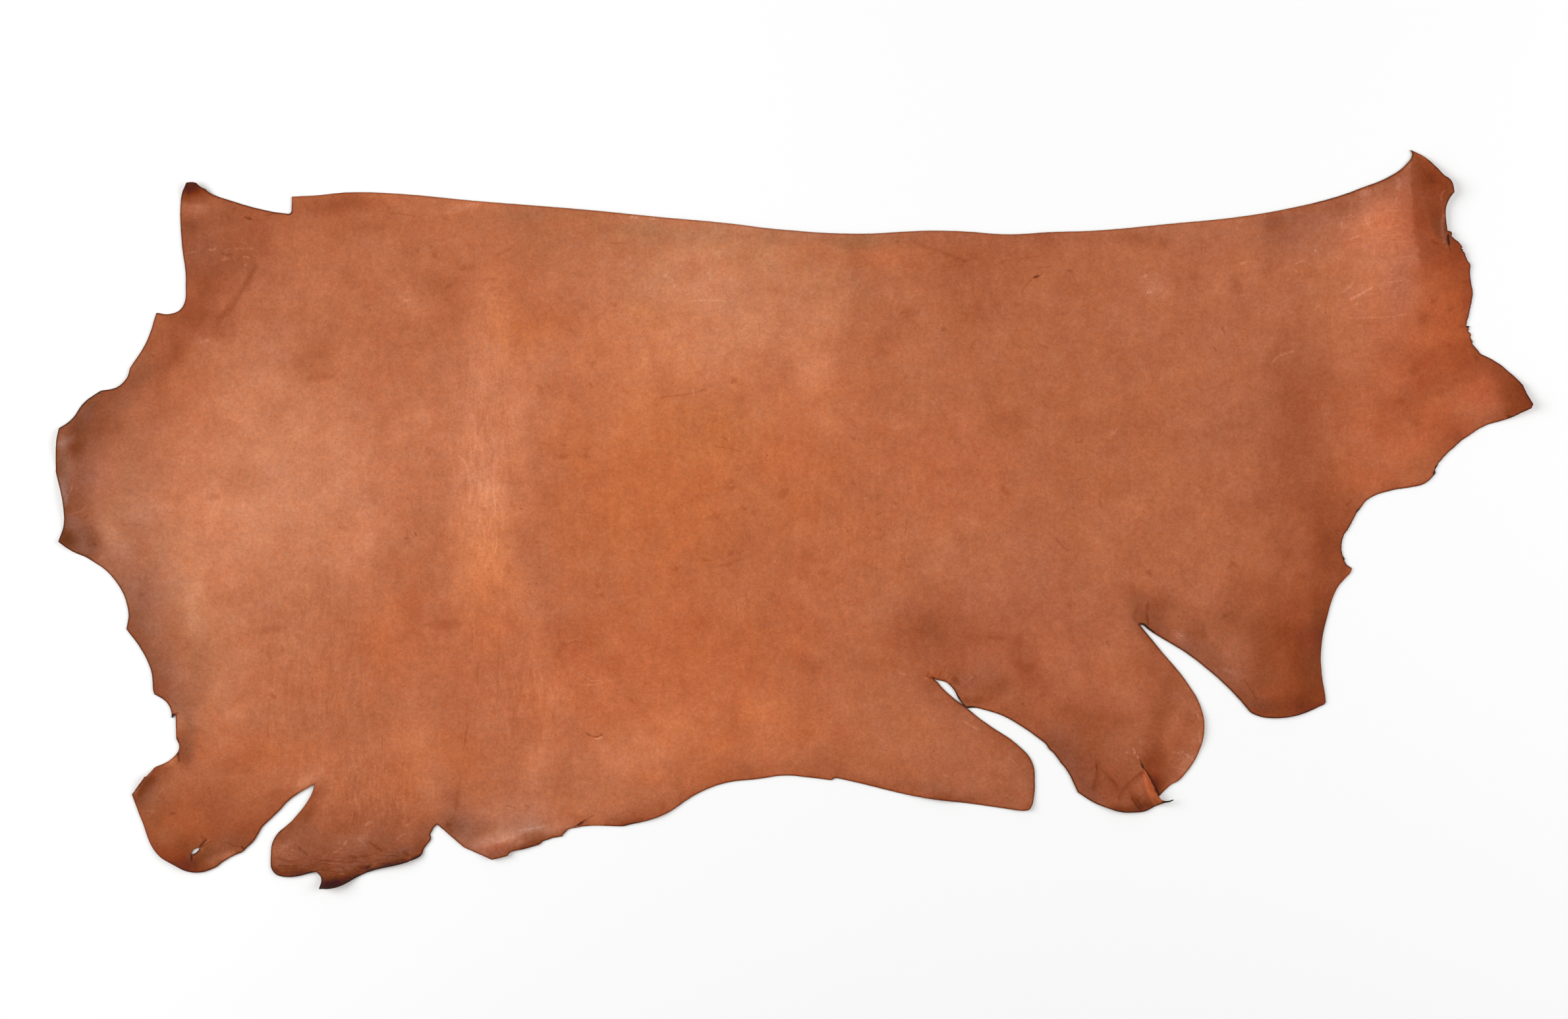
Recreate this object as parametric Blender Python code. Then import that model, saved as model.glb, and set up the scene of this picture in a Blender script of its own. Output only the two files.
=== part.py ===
# Leather hide: one side of thick vegetable-tanned leather, cut along the back, with shank flaps along
# its belly. It lies grain side up on a level surface, flat but for low swells and a rim that curls up.
# Units are metres and +Z is up. +X points to the narrower end, +Y to the straight back edge. The origin
# is the middle of the hide's bounding box, on the surface that it lies on.

import math
from collections import namedtuple

import bmesh
import bpy
from mathutils import Matrix, Vector

MM = 0.001
THICKNESS = 3.0 * MM
CELL = 55.0 * MM                 # pitch of the sheet's mesh
FACETS_PER_SPAN = 4              # facets between two outline points
STRAIGHT = math.radians(0.5)     # outline turns below this are flattened out
MERGE = 0.01 * MM
CUTTER_HEIGHT = 60.0 * MM

GRAIN_COLOUR = (0.473, 0.144, 0.061, 1.0)
GRAIN_ROUGHNESS = 0.5

ROUND = "AUTO"                   # the edge runs smoothly through the point
CORNER = "VECTOR"                # the knife stopped or turned at the point

EdgePoint = namedtuple("EdgePoint", "x_mm y_mm kind", defaults=(ROUND,))

# The cut edge, clockwise seen from above, starting at the step in the back line.
# Columns: x_mm, y_mm and, where the edge doesn't run smoothly, its kind.
OUTLINE = {
    "back_line": (
        (-839, 539, CORNER), (-799, 541), (-744, 546), (-667, 544), (-535, 532), (-337, 516),
        (-227, 505), (-117, 495), (-23, 484), (103, 477), (224, 482), (279, 481), (356, 476),
        (433, 480), (499, 482), (631, 494), (741, 505), (829, 520), (906, 539), (945, 553),
        (994, 573), (1021, 593), (1031, 610), (1028, 617, CORNER),
    ),
    "neck_corner": (
        (1052, 605), (1089, 573), (1101, 552), (1088, 518), (1090, 483, CORNER),
        (1098, 479, CORNER), (1101, 471), (1115, 456, CORNER), (1128, 427, CORNER), (1131, 378),
        (1121, 329, CORNER), (1126, 322, CORNER), (1130, 297), (1144, 278), (1164, 268),
        (1186, 254), (1214, 227), (1225, 207), (1233, 192, CORNER), (1230, 185, CORNER),
    ),
    "neck_end": (
        (1208, 176), (1162, 159), (1128, 142), (1100, 120), (1084, 104), (1068, 82, CORNER),
        (1070, 76, CORNER), (1049, 59), (997, 49), (956, 33), (943, 17, CORNER),
        (938, 11, CORNER), (926, -12), (915, -31), (914, -59, CORNER), (921, -74),
        (930, -81, CORNER), (926, -89), (906, -114), (889, -162), (879, -215), (880, -259),
        (888, -301, CORNER), (883, -308, CORNER),
    ),
    "narrow_flap": (
        (846, -325), (802, -331), (763, -324), (745, -303), (717, -274), (686, -247),
        (653, -222), (615, -198), (587, -180), (576, -173, CORNER), (578, -177, CORNER),
    ),
    "round_flap": (
        (609, -216), (657, -275), (678, -313), (684, -348), (675, -387), (648, -429),
        (608, -462, CORNER), (578, -401, CORNER), (607, -464, CORNER), (615, -469),
        (631, -467, CORNER), (616, -472), (590, -485), (549, -487), (499, -472),
        (473, -455, CORNER), (448, -408), (420, -375), (367, -340), (323, -320),
        (293, -313, CORNER),
    ),
    "long_slit": (
        (280, -308, CORNER), (266, -285), (246, -271), (228, -265, CORNER), (246, -285),
        (279, -310, CORNER), (288, -316, CORNER),
    ),
    "square_flap": (
        (323, -343), (373, -377), (396, -404), (401, -441), (398, -473), (388, -485),
    ),
    "belly": (
        (356, -483), (301, -475), (213, -464), (92, -436), (68, -431, CORNER),
        (62, -435, CORNER), (21, -430), (-15, -427), (-62, -433), (-117, -440), (-161, -457),
        (-221, -494), (-286, -512, CORNER), (-353, -512), (-367, -516, CORNER),
        (-333, -494, CORNER), (-370, -514, CORNER), (-386, -529, CORNER), (-447, -549),
        (-474, -557), (-481, -562, CORNER), (-505, -568, CORNER), (-552, -547, CORNER),
        (-596, -509, CORNER),
    ),
    "hooked_flap": (
        (-606, -518, CORNER), (-607, -533, CORNER), (-622, -558), (-645, -570), (-713, -589),
        (-768, -615), (-794, -617, CORNER), (-790, -599), (-798, -588, CORNER), (-854, -596),
        (-870, -588), (-874, -562), (-868, -532), (-837, -501), (-807, -460),
        (-801, -441, CORNER),
    ),
    "corner_flap": (
        (-843, -468), (-864, -490), (-895, -523), (-924, -556, CORNER), (-969, -582),
        (-1005, -589), (-1038, -576), (-1065, -557), (-1090, -501), (-1106, -459, CORNER),
        (-1085, -430, CORNER), (-1068, -414, CORNER), (-1038, -398), (-1027, -380),
        (-1032, -365, CORNER),
    ),
    "wide_end": (
        (-1033, -325, CORNER), (-1040, -331, CORNER), (-1046, -308), (-1068, -290),
        (-1074, -252), (-1091, -216), (-1115, -183, CORNER), (-1112, -153), (-1136, -99),
        (-1177, -66), (-1209, -51), (-1229, -37, CORNER), (-1220, -9), (-1221, 23),
        (-1233, 80, CORNER), (-1232, 133), (-1228, 152, CORNER), (-1208, 166), (-1185, 196),
        (-1158, 215, CORNER), (-1131, 221), (-1115, 236), (-1109, 253, CORNER), (-1082, 296),
        (-1065, 345, CORNER),
    ),
    "upper_flap": (
        (-1043, 343), (-1023, 353), (-1016, 395), (-1023, 466), (-1024, 532),
        (-1016, 563, CORNER), (-999, 561, CORNER), (-980, 549), (-953, 536), (-887, 517),
        (-845, 511, CORNER), (-839, 517, CORNER),
    ),
}

# A leaf-shaped hole torn through the corner flap. Columns as above.
TORN_HOLE = (
    (-1008, -560, CORNER), (-1005, -552), (-1000, -548), (-992, -547, CORNER), (-994, -551),
    (-1000, -557),
)

# A curl lifts what lies past a straight hinge line. x_mm and y_mm are the middle of that line,
# turn_deg is the way out to the rim, width_mm the line's whole length, reach_mm the way from it to the
# rim, bend_mm how soft the bend is, and rise_mm the height of the rim.
Curl = namedtuple("Curl", "place x_mm y_mm turn_deg width_mm reach_mm bend_mm rise_mm")
CURLS = (
    Curl("neck_corner", 1031, 593, 0, 418, 70, 10, 15),
    Curl("neck_tip", 1168, 212, -10, 187, 64, 30, 12),
    Curl("wide_end_upper", -1190, 133, 180, 99, 42, 20, 9),
    Curl("wide_end_middle", -1184, 29, 180, 121, 37, 20, 8),
    Curl("wide_end_lower", -1186, -41, 190, 66, 42, 20, 7),
    Curl("upper_flap_tip", -997, 531, 95, 121, 32, 12, 13),
    Curl("corner_flap_rim", -1080, -442, 140, 68, 9, 4, 5),
    Curl("corner_flap_toe", -1032, -546, -110, 176, 40, 30, 8),
    Curl("hooked_flap_tip", -755, -578, -105, 143, 37, 20, 13),
    Curl("hooked_flap_rim", -669, -559, -73, 143, 15, 6, 6),
    Curl("hooked_flap_heel", -843, -576, -95, 99, 20, 15, 3.5),
    Curl("belly_corner", -491, -544, -80, 198, 24, 12, 8),
    Curl("belly_bend", -243, -492, -69, 176, 14, 8, 4),
    Curl("square_flap_toe", 362, -466, -60, 121, 31, 20, 5),
    Curl("square_flap_side", 213, -449, -80, 286, 15, 10, 3),
    Curl("round_flap_toe", 543, -468, -92, 165, 20, 10, 6),
    Curl("round_flap_side", 667, -353, 0, 176, 15, 10, 3),
    Curl("narrow_flap_toe", 824, -315, -90, 143, 15, 10, 3),
)

# The lip that stands up along the slit in the round flap. Its hinge line starts at the slit's mouth.
SLIT_LIP = Curl("round_flap_lip", 594, -469, 25.7, 136, 14.2, 6, 12)

# Low swells, where the leather doesn't lie quite flat. turn_deg is the way its length_mm runs.
Swell = namedtuple("Swell", "place x_mm y_mm turn_deg length_mm width_mm rise_mm")
SWELLS = (
    Swell("long_ridge", -518, 32, 90, 704, 165, 3),
    Swell("hind_belly", -667, -430, 10, 418, 176, 4),
    Swell("narrow_flap", 829, -210, -75, 264, 132, 5),
    Swell("round_flap", 521, -364, -45, 253, 121, 5),
    Swell("corner_flap", -964, -452, 40, 286, 165, 5),
    Swell("wide_end", -1107, 186, 60, 286, 132, 4),
    Swell("neck", 1016, 252, 75, 286, 143, 4),
    Swell("belly", 136, -397, -8, 462, 99, 4),
)

FURTHEST_REACH = 2.0             # a curl ends this many reaches past its hinge, clear of the next flap

# Where a curl's own mesh lines run: as shares of its reach and of half its width.
CURL_ROWS = (0.0, 0.35, 0.7)
CURL_COLUMNS = (-0.6, 0.0, 0.6)


def clear_scene():
    for old in list(bpy.data.objects):
        bpy.data.objects.remove(old, do_unlink=True)


def new_collection(name):
    collection = bpy.data.collections.new(name)
    bpy.context.scene.collection.children.link(collection)
    return collection


def leather():
    material = bpy.data.materials.new("grain_leather")
    material.use_nodes = True
    shader = material.node_tree.nodes["Principled BSDF"]
    shader.inputs["Base Color"].default_value = GRAIN_COLOUR
    shader.inputs["Roughness"].default_value = GRAIN_ROUGHNESS
    shader.inputs["Metallic"].default_value = 0.0
    material.diffuse_color = GRAIN_COLOUR
    return material


def filled_outline(name, rows, half_height=0.0):
    """A closed, filled 2D curve through the rows, turned into a mesh with its caps welded."""
    curve = bpy.data.curves.new(name, "CURVE")
    curve.dimensions = "2D"
    curve.fill_mode = "BOTH"
    curve.extrude = half_height
    curve.resolution_u = FACETS_PER_SPAN
    curve.render_resolution_u = FACETS_PER_SPAN
    spline = curve.splines.new("BEZIER")
    spline.use_cyclic_u = True
    spline.bezier_points.add(len(rows) - 1)
    for knot, row in zip(spline.bezier_points, rows):
        point = EdgePoint(*row)
        knot.co = (point.x_mm * MM, point.y_mm * MM, 0.0)
        knot.handle_left_type = point.kind
        knot.handle_right_type = point.kind
    drawn = bpy.data.objects.new(name + "_curve", curve)
    bpy.context.scene.collection.objects.link(drawn)
    bpy.context.view_layer.update()
    evaluated = drawn.evaluated_get(bpy.context.evaluated_depsgraph_get())
    mesh = bpy.data.meshes.new_from_object(evaluated)
    mesh.name = name
    piece = bpy.data.objects.new(name, mesh)
    piece.matrix_world = drawn.matrix_world
    bpy.data.objects.remove(drawn, do_unlink=True)
    bpy.data.curves.remove(curve)
    shape = bmesh.new()
    shape.from_mesh(mesh)
    bmesh.ops.remove_doubles(shape, verts=shape.verts, dist=MERGE)
    shape.to_mesh(mesh)
    shape.free()
    return piece


def slice_faces(shape, faces, point, normal):
    """Cut the faces along the upright plane through point, without parting them."""
    edges = {edge for face in faces for edge in face.edges}
    verts = {vert for face in faces for vert in face.verts}
    ordered = sorted(verts, key=lambda v: v.index) + sorted(edges, key=lambda e: e.index) + list(faces)
    bmesh.ops.bisect_plane(shape, geom=ordered, dist=MERGE, plane_co=point, plane_no=normal)
    shape.verts.index_update()
    shape.edges.index_update()
    shape.faces.index_update()


def slice_grid(shape):
    """Cut the whole sheet into square cells."""
    for axis in (0, 1):
        normal = Vector((0.0, 0.0, 0.0))
        normal[axis] = 1.0
        low = min(vert.co[axis] for vert in shape.verts)
        high = max(vert.co[axis] for vert in shape.verts)
        for line in range(math.ceil(low / CELL), math.floor(high / CELL) + 1):
            slice_faces(shape, list(shape.faces), normal * line * CELL, normal)


def directions(turn_deg):
    """The way out across a hinge line and the way along it."""
    turn = math.radians(turn_deg)
    out = Vector((math.cos(turn), math.sin(turn), 0.0))
    along = Vector((out.y, -out.x, 0.0))
    return out, along


def slice_curl(shape, curl):
    """Give a curl mesh lines of its own, along its bend and across it."""
    hinge = Vector((curl.x_mm, curl.y_mm, 0.0)) * MM
    out, along = directions(curl.turn_deg)
    reach = curl.reach_mm * MM
    half_width = 0.5 * curl.width_mm * MM

    def near(face):
        offset = face.calc_center_median() - hinge
        return -0.5 * CELL < offset.dot(out) < reach + CELL and abs(offset.dot(along)) < half_width

    for row in CURL_ROWS:
        slice_faces(shape, [face for face in shape.faces if near(face)], hinge + out * row * reach, out)
    for column in CURL_COLUMNS:
        centre = hinge + along * column * half_width
        slice_faces(shape, [face for face in shape.faces if near(face)], centre, along)


def faded(share):
    """1 in the middle, 0 from the ends on, smooth between."""
    return max(0.0, 1.0 - share * share) ** 2


def curl_height(curl, point):
    out, along = directions(curl.turn_deg)
    offset = point / MM - Vector((curl.x_mm, curl.y_mm, 0.0))
    past = offset.dot(out)
    if not 0.0 < past < FURTHEST_REACH * curl.reach_mm:
        return 0.0
    bent = math.hypot(past, curl.bend_mm) - curl.bend_mm
    full = math.hypot(curl.reach_mm, curl.bend_mm) - curl.bend_mm
    return curl.rise_mm * MM * bent / full * faded(2.0 * offset.dot(along) / curl.width_mm)


def lip_height(lip, point):
    """As a curl, but level past its reach, and nothing on the far side of the slit."""
    out, along = directions(lip.turn_deg)
    offset = point / MM - Vector((lip.x_mm, lip.y_mm, 0.0))
    past_slit = offset.dot(out) > lip.reach_mm
    if past_slit and offset.dot(along) < 0.0:
        return 0.0
    top = lip.rise_mm * MM * faded(2.0 * offset.dot(along) / lip.width_mm)
    return min(curl_height(lip, point), top)


def swell_height(swell, point):
    long_way, cross_way = directions(swell.turn_deg)
    offset = point / MM - Vector((swell.x_mm, swell.y_mm, 0.0))
    share = math.hypot(2.0 * offset.dot(long_way) / swell.length_mm,
                       2.0 * offset.dot(cross_way) / swell.width_mm)
    return swell.rise_mm * MM * faded(share)


def height(point):
    """How far the underside stands off the surface."""
    lifts = [curl_height(curl, point) for curl in CURLS]
    lifts.append(lip_height(SLIT_LIP, point))
    lifts.extend(swell_height(swell, point) for swell in SWELLS)
    return sum(lifts)


def thicken(shape):
    """Raise a second skin over the open surface and close the cut edge between the two."""
    underside = list(shape.faces)
    raised = bmesh.ops.extrude_face_region(shape, geom=underside, use_keep_orig=True)
    top = [item for item in raised["geom"] if isinstance(item, bmesh.types.BMVert)]
    bmesh.ops.translate(shape, verts=top, vec=(0.0, 0.0, THICKNESS))
    bmesh.ops.recalc_face_normals(shape, faces=shape.faces)


def lying_sheet(name):
    """The cut sheet, meshed, lifted to the shape in which it lies and given its thickness."""
    rows = [row for stretch in OUTLINE.values() for row in stretch]
    sheet = filled_outline(name, rows)
    shape = bmesh.new()
    shape.from_mesh(sheet.data)
    bmesh.ops.dissolve_faces(shape, faces=shape.faces)
    bmesh.ops.dissolve_limit(shape, angle_limit=STRAIGHT, verts=shape.verts, edges=shape.edges)
    slice_grid(shape)
    for curl in CURLS + (SLIT_LIP,):
        slice_curl(shape, curl)
    bmesh.ops.triangulate(shape, faces=shape.faces, quad_method="BEAUTY", ngon_method="BEAUTY")
    for vert in shape.verts:
        vert.co.z = height(vert.co)
    thicken(shape)
    shape.to_mesh(sheet.data)
    shape.free()
    return sheet


def tear(sheet, rows, cutters):
    """Cut a hole of the given outline right through the sheet."""
    hole = filled_outline("torn_hole", rows, half_height=0.5 * CUTTER_HEIGHT)
    hole.hide_render = True
    hole.display_type = "WIRE"
    cutters.objects.link(hole)
    cut = sheet.modifiers.new("torn_hole", "BOOLEAN")
    cut.operation = "DIFFERENCE"
    cut.solver = "EXACT"
    cut.object = hole


def centre(sheet):
    """Put the middle of the bounding box at the origin."""
    bpy.context.view_layer.update()
    solid = sheet.evaluated_get(bpy.context.evaluated_depsgraph_get()).to_mesh()
    across = [vert.co.x for vert in solid.vertices]
    along = [vert.co.y for vert in solid.vertices]
    middle = Vector((0.5 * (min(across) + max(across)), 0.5 * (min(along) + max(along)), 0.0))
    sheet.location = -middle


def build():
    clear_scene()
    parts = new_collection("leather_hide")
    cutters = new_collection("leather_hide_cutters")
    hide = lying_sheet("hide")
    parts.objects.link(hide)
    hide.data.materials.append(leather())
    tear(hide, TORN_HOLE, cutters)
    centre(hide)


build()
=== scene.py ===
# A side of tan leather, laid grain side up on a pale floor.
# Tables are in millimetres from the middle of the hide, +x to its neck and +y to its back edge.

import math

import bmesh
import bpy
import numpy as np
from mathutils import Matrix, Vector, geometry, kdtree, noise


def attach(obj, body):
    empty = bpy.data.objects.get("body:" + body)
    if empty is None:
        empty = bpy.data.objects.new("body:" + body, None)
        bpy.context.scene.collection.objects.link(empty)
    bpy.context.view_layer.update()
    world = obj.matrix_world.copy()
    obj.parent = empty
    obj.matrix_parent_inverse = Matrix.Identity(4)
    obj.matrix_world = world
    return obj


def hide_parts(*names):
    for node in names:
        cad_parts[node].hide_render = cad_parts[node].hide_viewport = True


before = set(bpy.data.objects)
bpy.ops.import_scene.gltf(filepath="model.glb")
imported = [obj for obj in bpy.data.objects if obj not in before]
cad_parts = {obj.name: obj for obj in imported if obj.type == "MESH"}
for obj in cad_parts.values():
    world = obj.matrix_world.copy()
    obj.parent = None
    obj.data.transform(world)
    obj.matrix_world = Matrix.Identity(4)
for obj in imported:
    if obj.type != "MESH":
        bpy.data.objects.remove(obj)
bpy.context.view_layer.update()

mm = 0.001


def report(stage):
    print("hide:", stage)


# the cut edge: corners are marked "c", all other points are run through smoothly

outline = {
    "backLine": (
        (-839, 539, "c"), (-799, 541), (-744, 546), (-667, 544), (-535, 532), (-337, 516),
        (-227, 505), (-117, 495), (-23, 484), (103, 477), (224, 482), (279, 481), (356, 476),
        (433, 480), (499, 482), (631, 494), (741, 505), (829, 520)),
    "neckRise": (
        (906, 539), (945, 553), (994, 573), (1021, 593), (1031, 610), (1028, 617, "c")),
    "neckCorner": (
        (1052, 605), (1072, 588), (1086, 574), (1092.5, 570), (1097, 565), (1100, 556),
        (1101.5, 547, "c"), (1095, 539), (1090, 529), (1087, 518), (1089.5, 483, "c"), (1092.5, 481.7),
        (1095.5, 481), (1097.5, 477), (1096.5, 473, "c"), (1104, 466.5), (1109.5, 462),
        (1115, 454.8, "c"), (1113, 452.7, "c"), (1116, 450.3, "c"), (1115, 448.3, "c"),
        (1118.5, 445), (1119.5, 441), (1124.5, 430.5), (1127.3, 426.5), (1127.8, 422),
        (1127.3, 410), (1129, 396), (1132, 377),
        (1129, 360), (1124, 337), (1121, 328), (1121, 323, "c"), (1126.5, 322.5, "c"),
        (1124, 315, "c"), (1128, 308), (1127, 304.5, "c"), (1132, 297.5, "c"),
        (1131, 294, "c"), (1141, 282), (1144.5, 277), (1150, 274), (1160, 269.5), (1170, 263.5),
        (1180, 257), (1190, 248.5), (1200, 240), (1210, 230.5), (1215.5, 225, "c"),
        (1219, 217), (1222, 211), (1229, 199), (1233, 192.5, "c"), (1230, 186, "c")),
    "neckEnd": (
        (1222, 182), (1212, 178), (1200, 172), (1176, 164), (1161, 160), (1151, 156), (1143, 152),
        (1128, 142), (1112, 131), (1100, 120), (1088, 109), (1081, 101.5), (1079.5, 99), (1075, 95),
        (1072.5, 89), (1070, 85.5, "c"), (1069, 82), (1070, 78.5), (1067, 74), (1059, 65.5),
        (1049, 59), (1028, 54), (997, 49), (956, 33), (943, 17, "c"), (938, 11, "c"),
        (926, -12), (915, -31), (914, -58), (915.5, -61.5), (918, -64.5), (918, -69),
        (921.5, -75), (930, -81, "c")),
    "narrowSide": (
        (928, -88), (919, -98), (906, -114), (889, -162), (879, -215), (880, -259),
        (885, -290), (886.8, -305, "c"), (884, -308.5, "c")),
    "narrowFlap": (
        (846, -325), (820, -330.5), (802, -331.5), (786, -330.5), (768, -325.5), (761, -321.5),
        (756, -316), (745, -303), (717, -274), (686, -247),
        (653, -222), (615, -199), (601, -190.5), (593.5, -185.5), (588, -181.5), (584.5, -178),
        (581, -175.8), (577, -175.4, "c"), (578, -178, "c")),
    "roundFlap": (
        (609, -216), (657, -275), (678, -313), (684, -348), (675, -387), (648, -429),
        (639, -437), (630, -441.5), (620, -450), (608.2, -462.2, "c")),
    "lipSlit": (
        (593.6, -433.6, "c"), (583.5, -415.4, "c"), (577.3, -402.5, "c"), (583, -415.7, "c"),
        (593.3, -433.8, "c"), (607.6, -463.2, "c"), (612, -467.5)),
    "lipTail": (
        (621, -468.8), (631, -466.4, "c"), (631.3, -467.6, "c"), (625, -470.4), (616, -472)),
    "roundToe": (
        (600, -479.5), (592, -484), (585, -487), (565, -489), (545, -488.3), (525, -482.5),
        (499, -472), (473, -455.5, "c"), (469, -447), (459, -426), (449, -411), (446, -408),
        (438, -397), (431, -388.5), (425, -383), (420, -375.5), (410, -367), (378, -344.5), (351, -329),
        (331, -321.5), (315, -317), (302, -314),
        (289, -314.7, "c")),
    "longSlit": (
        (281, -309, "c"), (272, -296), (268, -287), (261, -278), (253, -271.5), (246, -269),
        (239, -268), (229, -263.5, "c"), (238, -271), (246, -280.5), (265, -298),
        (280.6, -309.6, "c"), (288.4, -315.2, "c")),
    "squareFlap": (
        (306, -330), (324, -343), (373, -377), (396, -404), (401, -441), (399, -466),
        (396.5, -477.5), (391.5, -484.5), (386, -486), (370, -485)),
    "belly": (
        (356, -483), (301, -475), (213, -464), (92, -436), (68, -431, "c"), (62, -435, "c"),
        (21, -430), (-15, -427), (-62, -433), (-117, -440), (-161, -457), (-221, -494),
        (-286, -512, "c"), (-353, -512)),
    "bellySlit": (
        (-368.9, -515.4, "c"), (-347, -501, "c"), (-369.6, -514.8, "c")),
    "bellyTorn": (
        (-378, -517.5), (-381, -520.5, "c"), (-385, -524), (-388, -529, "c"),
        (-401, -531), (-420, -537, "c"), (-425, -541.5), (-438, -546), (-452, -550), (-470, -554),
        (-476, -557), (-479, -561.5, "c"), (-505, -568, "c"), (-552, -547, "c"), (-596, -509, "c")),
    "hookedFlap": (
        (-602, -514), (-604.5, -518.5, "c"), (-608, -526), (-606.5, -532.5, "c"),
        (-609, -537), (-618, -549), (-622, -559), (-645, -571), (-713, -589),
        (-768, -615), (-794, -617, "c"), (-790, -599), (-798, -588, "c"), (-854, -596),
        (-870, -588), (-874, -562), (-868, -532)),
    "hookedSide": (
        (-837, -501), (-807, -460), (-801, -441, "c")),
    "cornerFlap": (
        (-843, -468), (-862, -488), (-879, -504), (-889, -514), (-894, -523), (-903, -537),
        (-914, -547.5), (-923, -555.5), (-928, -557.5, "c"), (-936, -561), (-952, -570), (-969, -582),
        (-1005, -589)),
    "cornerSide": (
        (-1038, -576), (-1065, -557), (-1090, -501), (-1106, -459, "c"), (-1087.5, -433, "c"),
        (-1085.5, -429.5, "c"), (-1082, -429, "c"), (-1068, -414, "c"), (-1038, -398), (-1027, -380),
        (-1032, -365, "c")),
    "wideEnd": (
        (-1033, -325, "c"), (-1039.5, -331, "c"), (-1040, -321), (-1046, -307.5), (-1053, -300.5),
        (-1063, -294.5), (-1068.5, -291.5, "c"), (-1070.5, -284), (-1071.5, -269), (-1074, -252),
        (-1091, -216), (-1115, -183, "c"), (-1112, -153), (-1136, -99), (-1177, -66),
        (-1209, -51), (-1229, -37, "c"), (-1220, -9), (-1221, 23), (-1233, 80, "c"),
        (-1232, 133), (-1228, 152, "c"), (-1208, 166), (-1185, 196), (-1158, 215, "c"),
        (-1131, 221), (-1115, 236), (-1109, 253, "c"), (-1082, 296), (-1065, 345, "c")),
    "upperFlap": (
        (-1043, 343), (-1023, 353), (-1016, 395), (-1023, 466), (-1024.5, 530), (-1022, 546),
        (-1018, 556), (-1015.5, 562.5, "c"), (-1006, 563.5), (-999, 562, "c"), (-990, 554.5),
        (-986, 552.5), (-983, 551.5, "c"), (-978.5, 547), (-966, 540.5), (-953, 536), (-887, 517),
        (-850, 511), (-842, 511), (-839.5, 515.5, "c")),
}
tornHole = (
    (-1007, -559, "c"), (-1005.4, -554.2), (-1001, -549.8), (-993.5, -547.2, "c"), (-993.8, -550.3),
    (-998, -555), (-1003, -558.3))

# a stretch of edge that was pulled and torn more than cut: x, y, reach, depth
raggedEdges = (
    (1131, 340, 60, 0.9), (1120, 450, 40, 0.7), (1127, 300, 30, 1.2), (925, -45, 60, 0.6),
    (1190, 200, 70, 0.5), (1120, 130, 60, 0.5), (-640, -560, 45, 0.8), (-1090, -440, 40, 0.6),
    (-605, -525, 25, 1.0), (-380, -522, 40, 0.7))

sheetMake = dict(
    thickness=3.0,       # all in mm
    edgeStep=3.0,        # between points along the cut edge
    holeStep=1.5,        # and along the torn hole
    wobble=0.25,         # how far the knife strays
    wobbleLength=9.0,
    toothLength=3.1,     # of the ragged stretches
    slitClear=1.5,       # no strays this close to the slit
    bulge=0.3,           # how far the cut edge stands out halfway down
    arris=1.4,           # width of the rounded-over rim on the grain side
    arrisDrop=0.45,
    arrisKept=0.9,       # share of that width its points have to keep from the edge
    arrisClear=0.9,      # and how far past it the plain mesh begins
    rimEnd=3.3,          # past the dark rim, where a second row of points keeps it even
    rimEndKept=0.93,
    rimEndClear=1.3,
    eye=5090.0,          # how high the outline is seen from
    pitch=7.6,           # mesh of the grain side
    underPitch=30.0,     # mesh of the flesh side, where it lies flat
    lifted=0.05,         # height from which it no longer does
    flatClear=12.0,      # how far from the edge each mesh of the flesh side stops
    raisedClear=3.5)
fineAreas = (
    # x, y, length, width, pitch: where the grain side needs a closer mesh
    (560, -430, 180, 140, 2.2), (265, -290, 150, 110, 2.4), (-998, -552, 80, 60, 1.8),
    (-745, -565, 310, 120, 2.6), (-480, -545, 200, 50, 4.0), (1070, 570, 110, 130, 4.0),
    (1185, 210, 110, 110, 4.0), (-1195, 60, 80, 240, 4.0), (-1000, 545, 80, 50, 4.0),
    (-1075, -440, 80, 70, 3.0))


def splineLoop(rows, step):
    # a closed curve through the rows, read off every step along it, with the corners kept
    curve = bpy.data.curves.new("edge", "CURVE")
    curve.dimensions = "3D"
    perSpan = 24
    curve.resolution_u = perSpan
    spline = curve.splines.new("BEZIER")
    spline.use_cyclic_u = True
    spline.bezier_points.add(len(rows) - 1)
    for knot, row in zip(spline.bezier_points, rows):
        knot.co = (row[0], row[1], 0)
        kind = "VECTOR" if len(row) > 2 else "AUTO"
        knot.handle_left_type = kind
        knot.handle_right_type = kind
    drawn = bpy.data.objects.new("edge", curve)
    bpy.context.scene.collection.objects.link(drawn)
    bpy.context.view_layer.update()
    mesh = bpy.data.meshes.new_from_object(drawn.evaluated_get(bpy.context.evaluated_depsgraph_get()))
    dense = np.array([vert.co[:2] for vert in mesh.vertices])
    bpy.data.objects.remove(drawn, do_unlink=True)
    bpy.data.curves.remove(curve)
    bpy.data.meshes.remove(mesh)
    loop = []
    first = 0
    for row, after in zip(rows, rows[1:] + rows[:1]):
        straight = len(row) > 2 and len(after) > 2       # Blender draws these with no points between
        last = first + (1 if straight else perSpan)
        piece = np.vstack([dense[first:last], dense[last % len(dense)]])
        run = np.concatenate([[0], np.cumsum(np.hypot(*np.diff(piece, axis=0).T))])
        along = np.arange(max(1, round(run[-1] / step))) / max(1, round(run[-1] / step)) * run[-1]
        loop.extend(zip(np.interp(along, run, piece[:, 0]), np.interp(along, run, piece[:, 1])))
        first = last
    return np.array(loop)


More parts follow.
